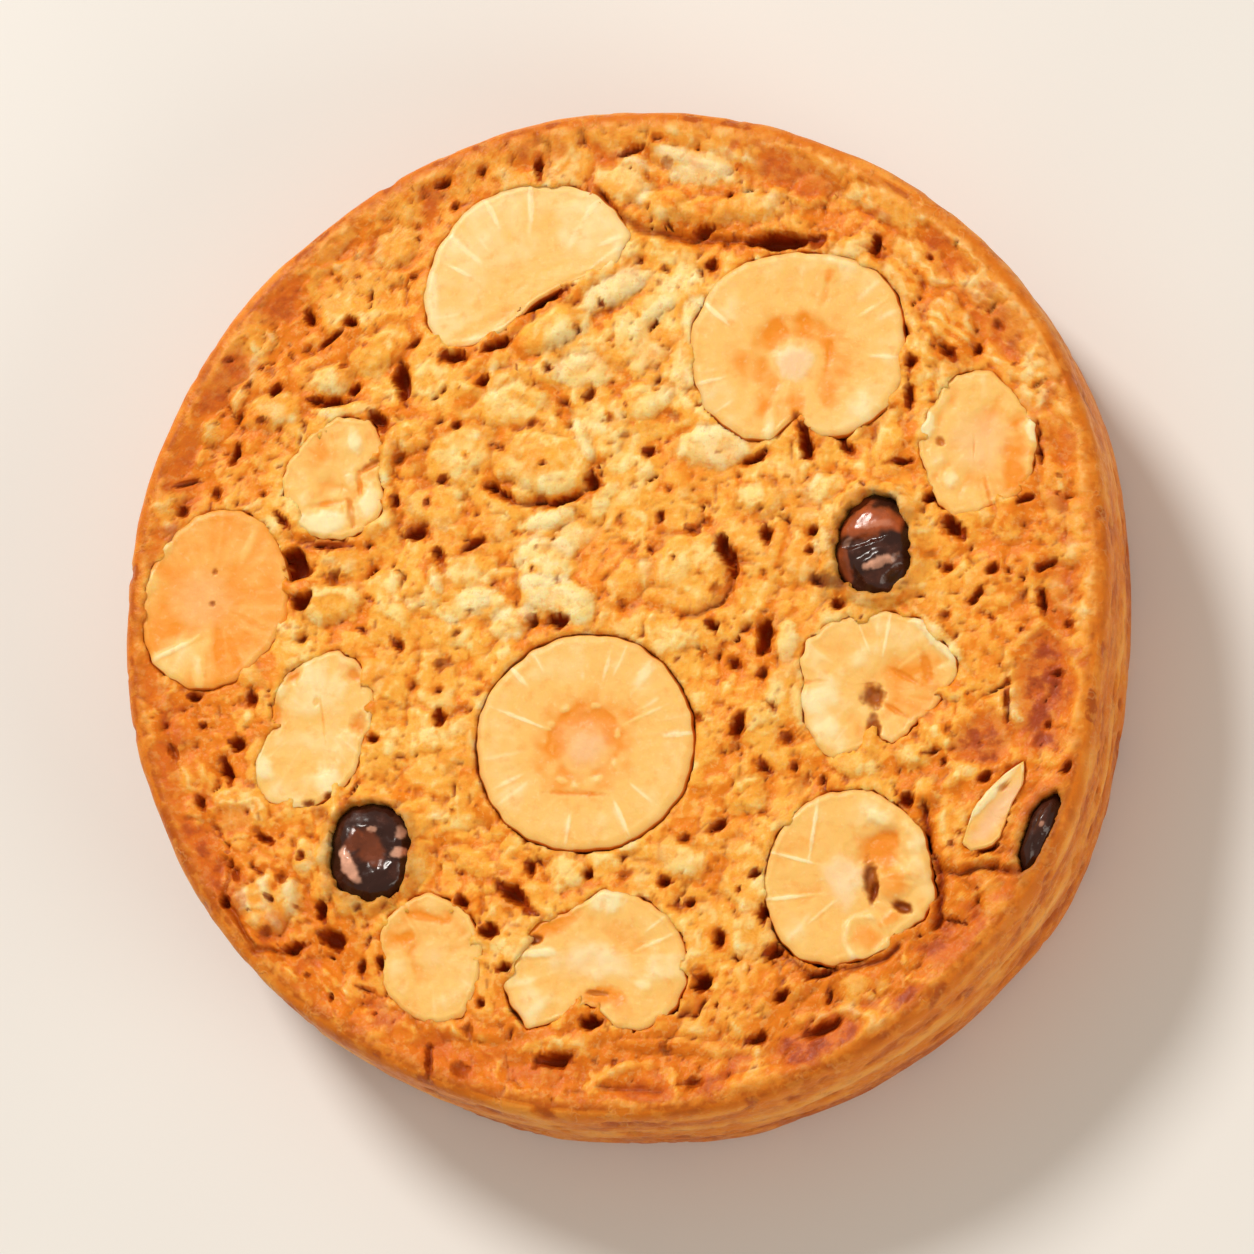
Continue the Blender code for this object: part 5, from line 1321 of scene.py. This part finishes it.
class Surface:
    """A Principled material and short calls for the nodes that feed it."""

    def __init__(self, name):
        self.material = bpy.data.materials.new(name)
        self.material.use_nodes = True
        self.tree = self.material.node_tree
        self.shader = self.tree.nodes["Principled BSDF"]
        self.place = self.node("TexCoord", {}).outputs["Object"]

    def link(self, source, target):
        self.tree.links.new(source, target)

    def node(self, kind, inputs, **settings):
        """A node whose sockets are given numbers, colours or sources."""
        node = self.tree.nodes.new("ShaderNode" + kind)
        for setting, value in settings.items():
            setattr(node, setting, value)
        for socket, value in inputs.items():
            if isinstance(value, bpy.types.NodeSocket):
                self.link(value, node.inputs[socket])
            else:
                node.inputs[socket].default_value = value
        return node

    def layer(self, name):
        return self.node("Attribute", {}, attribute_type='GEOMETRY', attribute_name=name).outputs["Fac"]

    def noise(self, size, detail=3.0, rough=0.55):
        """Noise whose bumps are about so many millimetres wide."""
        inputs = {"Scale": 1.0 / (size * MM), "Detail": detail, "Roughness": rough, "Vector": self.place}
        return self.node("TexNoise", inputs).outputs["Fac"]

    def span(self, source, low, high, to_low=0.0, to_high=1.0):
        """A value drawn from one range to another."""
        inputs = {"From Min": low, "From Max": high, "To Min": to_low, "To Max": to_high, "Value": source}
        return self.node("MapRange", inputs, interpolation_type='SMOOTHSTEP').outputs["Result"]

    def times(self, first, second):
        return self.node("Math", {0: first, 1: second}, operation='MULTIPLY').outputs["Value"]

    def mix(self, share, first, second):
        """Two colours, or sources of colour, mixed by a share."""
        node = self.node("Mix", {"Factor": share}, data_type='RGBA')
        for socket, colour in zip([s for s in node.inputs if s.type == 'RGBA'], (first, second)):
            if isinstance(colour, tuple):
                socket.default_value = (*colour, 1.0)
            else:
                self.link(colour, socket)
        return next(s for s in node.outputs if s.type == 'RGBA')

    def lay(self, below, colour, source, low, high, most=1.0):
        """A colour laid over another where the source goes from low to high, and how much of it at most."""
        return self.mix(self.span(source, low, high, 0.0, most), below, colour)

    def finish(self, colour, rough_source, low, high, smooth, rough, specular):
        """The surface's colour, its range of roughness and how much it reflects."""
        self.link(colour, self.shader.inputs["Base Color"])
        self.link(self.span(rough_source, low, high, smooth, rough), self.shader.inputs["Roughness"])
        self.shader.inputs["Specular IOR Level"].default_value = specular

    def lit_through(self, share, depth):
        """Light that enters and comes out again nearby, reddest the farthest; the depth is in millimetres."""
        self.shader.inputs["Subsurface Weight"].default_value = share
        self.shader.inputs["Subsurface Radius"].default_value = SCATTER
        self.shader.inputs["Subsurface Scale"].default_value = depth * MM

    def relief(self, *rows):
        """Bumps laid one over the other: (source, height in millimetres)."""
        last = None
        for source, height in rows:
            inputs = {"Strength": 1.0, "Distance": height * MM, "Height": source}
            if last:
                inputs["Normal"] = last
            last = self.node("Bump", inputs).outputs["Normal"]
        self.link(last, self.shader.inputs["Normal"])


def srgb(red, green, blue):
    """A colour in the shader's scale from its screen value, 0 to 255."""
    return tuple(
        value / 12.92 if value <= 0.04045 else ((value + 0.055) / 1.055) ** 2.4
        for value in (red / 255.0, green / 255.0, blue / 255.0)
    )


CRUMB_LOW = srgb(238, 136, 28)
CRUMB = srgb(255, 182, 72)
CRUMB_HIGH = srgb(255, 219, 138)
CREAM = srgb(255, 234, 174)
TOAST = srgb(204, 88, 34)
TOAST_DEEP = srgb(148, 64, 36)
# Painted shade in the crumb's pits, pores, clefts and along the joins with set-in pieces
RUSSET = srgb(242, 144, 34)
PIT_SHADE = srgb(160, 60, 2)
WALL = srgb(221, 122, 26)
WALL_LIGHT = srgb(240, 158, 60)
# Pale tan of the painted satin sheen on the wall, and of its pale veins
WALL_TAN_AND_SHEEN = srgb(242, 178, 102)
WALL_DARK = srgb(184, 88, 18)
UNDERSIDE = srgb(228, 136, 48)
NUT_LOW = srgb(248, 152, 38)
NUT = srgb(253, 199, 112)
NUT_HIGH = srgb(255, 232, 178)
NUT_PINK = srgb(250, 196, 150)
NUT_SKIN = srgb(206, 108, 26)
# Painted shade in the pits of the nut faces
NUT_PIT_SHADE = srgb(140, 56, 6)
COCOA = srgb(52, 23, 16)
COCOA_SOFT = srgb(88, 44, 30)
COCOA_GLOW = srgb(196, 96, 48)
# Painted highlight on the chocolate, pale pink
COCOA_HIGHLIGHT = srgb(250, 186, 156)
# Colour of the halo round the drops, partly chocolate stain and partly painted shadow, and of the chocolate
# streak
STAIN_AND_SHADE = srgb(116, 56, 28)


def dough_material():
    s = Surface("baked_dough")
    mottle = s.noise(1.3, 4.0)
    specks = s.noise(0.42, 3.0)
    tone = s.layer("tone")
    crumb = s.lay(CRUMB_LOW, CRUMB, tone, 0.0, 0.5)
    crumb = s.lay(crumb, CRUMB_HIGH, tone, 0.5, 1.0)
    crumb = s.lay(crumb, CREAM, tone, 0.9, 1.4)
    crumb = s.lay(crumb, RUSSET, mottle, 0.54, 0.74, 0.35)
    crumb = s.lay(crumb, RUSSET, s.noise(3.2, 3.0), 0.50, 0.68, 0.35)
    # Paler on the raised specks and darker in their dips: partly the crumb's own flecks, partly painted
    # highlight and shade
    crumb = s.lay(crumb, CRUMB_HIGH, specks, 0.53, 0.64, 0.25)
    crumb = s.lay(crumb, RUSSET, specks, 0.44, 0.34, 0.30)
    toast = s.times(s.layer("toast"), s.span(mottle, 0.35, 0.65, 1.0, 0.55))
    crumb = s.mix(toast, crumb, TOAST)
    crumb = s.lay(crumb, TOAST_DEEP, toast, 0.55, 1.0, 0.65)
    wall = s.lay(WALL_DARK, WALL, tone, 0.1, 0.5)
    wall = s.lay(wall, WALL_LIGHT, tone, 0.5, 0.9)
    # Tan where the wall is palest: the painted satin sheen
    wall = s.lay(wall, WALL_TAN_AND_SHEEN, tone, 0.8, 1.2)
    wall = s.lay(wall, WALL_DARK, s.noise(1.0, 4.0), 0.50, 0.70, 0.45)
    wall = s.lay(wall, WALL_LIGHT, s.noise(0.8, 4.0), 0.50, 0.66, 0.45)
    vein = s.noise(1.5, 3.0)
    line = s.times(s.span(vein, 0.46, 0.50), s.span(vein, 0.54, 0.50))
    line = s.times(line, s.times(s.layer("wall"), s.span(s.noise(2.4, 2.0), 0.50, 0.60)))
    wall = s.mix(s.times(line, 0.30), wall, WALL_TAN_AND_SHEEN)
    under = s.lay(UNDERSIDE, WALL_DARK, s.noise(2.0, 4.0), 0.42, 0.66)
    both = s.mix(s.layer("wall"), crumb, wall)
    both = s.mix(s.layer("base"), both, under)
    # Painted shade in pits, pores, clefts and joins
    both = s.mix(s.layer("pit"), both, PIT_SHADE)
    # The halo round the drops, partly chocolate stain and partly painted shadow
    both = s.mix(s.times(s.layer("smear"), 0.8), both, STAIN_AND_SHADE)
    s.finish(both, specks, 0.3, 0.7, 0.36, 0.56, 0.16)
    s.relief((s.noise(0.9, 3.0), 0.10), (specks, 0.07), (s.noise(0.15, 2.0), 0.02), (line, 0.03))
    s.lit_through(0.35, 0.5)
    return s.material


def nut_material():
    s = Surface("hazelnut")
    tone = s.layer("tone")
    face = s.lay(NUT_LOW, NUT, tone, 0.0, 0.5)
    face = s.lay(face, NUT_HIGH, tone, 0.5, 1.0)
    face = s.lay(face, NUT_LOW, s.noise(0.9, 4.0), 0.52, 0.75, 0.35)
    face = s.lay(face, NUT_HIGH, s.noise(0.35, 3.0), 0.55, 0.80, 0.28)
    face = s.mix(s.times(s.layer("pink"), 0.8), face, NUT_PINK)
    face = s.mix(s.layer("skin"), face, NUT_SKIN)
    # Painted shade in the pits of the nut faces
    face = s.mix(s.layer("pit"), face, NUT_PIT_SHADE)
    s.finish(face, s.noise(0.8, 3.0), 0.3, 0.7, 0.34, 0.50, 0.28)
    s.relief((s.noise(0.30, 3.0), 0.025))
    s.lit_through(0.40, 0.6)
    return s.material


def chocolate_material():
    s = Surface("chocolate")
    colour = s.lay(COCOA, COCOA_SOFT, s.noise(1.2, 3.0), 0.45, 0.75, 0.8)
    glow = s.times(s.layer("glow"), s.span(s.noise(0.7, 3.0), 0.2, 0.7, 1.0, 0.6))
    colour = s.mix(glow, colour, COCOA_GLOW)
    # Painted highlights, pale pink
    bloom = s.times(s.layer("bloom"), s.span(s.noise(0.5, 3.0), 0.2, 0.6, 1.0, 0.7))
    colour = s.mix(bloom, colour, COCOA_HIGHLIGHT)
    s.finish(colour, s.noise(0.6, 3.0), 0.3, 0.7, 0.14, 0.30, 0.35)
    s.relief((s.noise(0.3, 2.0), 0.02))
    s.shader.inputs["Coat Weight"].default_value = 0.15
    s.shader.inputs["Coat Roughness"].default_value = 0.2
    return s.material


# ---------------------------------------------------------------- stage

ROOM_COLOUR = (1.0, 0.90, 0.76, 1.0)
ROOM_STRENGTH = 0.45
FLOOR_SIZE = 3.0
FLOOR_LOW = (0.80, 0.79, 0.78)
FLOOR_HIGH = (0.84, 0.83, 0.82)
# Area lights: name, place (m), size (m), power (W), colour
LIGHTS = (
    ("key", (-0.42, 0.55, 0.66), 0.26, 6.9, (1.0, 0.96, 0.90)),
    ("fill", (0.72, -0.42, 0.40), 0.50, 2.2, (1.0, 0.93, 0.82)),
)


def floor_material():
    s = Surface("floor")
    tone = s.lay(FLOOR_LOW, FLOOR_HIGH, s.noise(60.0, 2.0), 0.3, 0.7)
    s.link(tone, s.shader.inputs["Base Color"])
    s.shader.inputs["Roughness"].default_value = 0.6
    return s.material


def add_area(name, place, size, power, colour):
    light = bpy.data.lights.new(name, 'AREA')
    light.shape = 'DISK'
    light.size = size
    light.energy = power
    light.color = colour
    obj = bpy.data.objects.new(name, light)
    obj.location = place
    obj.rotation_euler = (-Vector(place)).to_track_quat('-Z', 'Y').to_euler()
    bpy.context.scene.collection.objects.link(obj)


def add_stage():
    bpy.ops.mesh.primitive_plane_add(size=FLOOR_SIZE, location=(0.0, 0.0, 0.0))
    floor = bpy.context.object
    floor.name = "floor"
    floor.data.materials.append(floor_material())
    floor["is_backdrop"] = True
    world = bpy.data.worlds.new("soft_room")
    world.use_nodes = True
    world.node_tree.nodes["Background"].inputs["Color"].default_value = ROOM_COLOUR
    world.node_tree.nodes["Background"].inputs["Strength"].default_value = ROOM_STRENGTH
    bpy.context.scene.world = world
    for row in LIGHTS:
        add_area(*row)
    bpy.context.scene.view_settings.view_transform = 'Standard'


def add_camera():
    low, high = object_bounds()
    target = (low + high) / 2.0
    across = math.radians(VIEW_FROM + 90.0)
    axis = Vector((math.cos(across), math.sin(across), 0.0))
    leant = Matrix.Rotation(math.radians(VIEW_TILT), 3, axis)
    right, up, back = [leant @ Vector(line) for line in ((1, 0, 0), (0, 1, 0), (0, 0, 1))]
    data = bpy.data.cameras.new("camera")
    data.lens = VIEW_LENS
    half_width = (high.x - low.x) / 2.0 / VIEW_FILL
    distance = half_width * data.lens / (data.sensor_width / 2.0)
    data.clip_start = distance * 0.1
    data.clip_end = distance * 20.0
    camera = bpy.data.objects.new("camera", data)
    turn = Matrix((right, up, back)).transposed().to_4x4()
    camera.matrix_world = Matrix.Translation(target + back * distance) @ turn
    bpy.context.scene.collection.objects.link(camera)
    bpy.context.scene.camera = camera


# ---------------------------------------------------------------- the whole

SEED_STEP = 10                   # each set-in piece has that many seeds of its own


def dress():
    nut = nut_material()
    chocolate = chocolate_material()
    dough = build_dough(dough_material())
    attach(dough, "root")
    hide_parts("biscuit")
    for rank, name in enumerate(sorted(SLICES)):
        piece = build_slice(name, nut, SLICE_SEED + SEED_STEP * rank)
        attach(piece, "root")
        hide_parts(name)
    for rank, name in enumerate(sorted(DROPS)):
        piece = build_drop(name, chocolate, DROP_SEED + SEED_STEP * rank)
        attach(piece, "root")
        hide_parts(name)


add_stage()
dress()
add_camera()
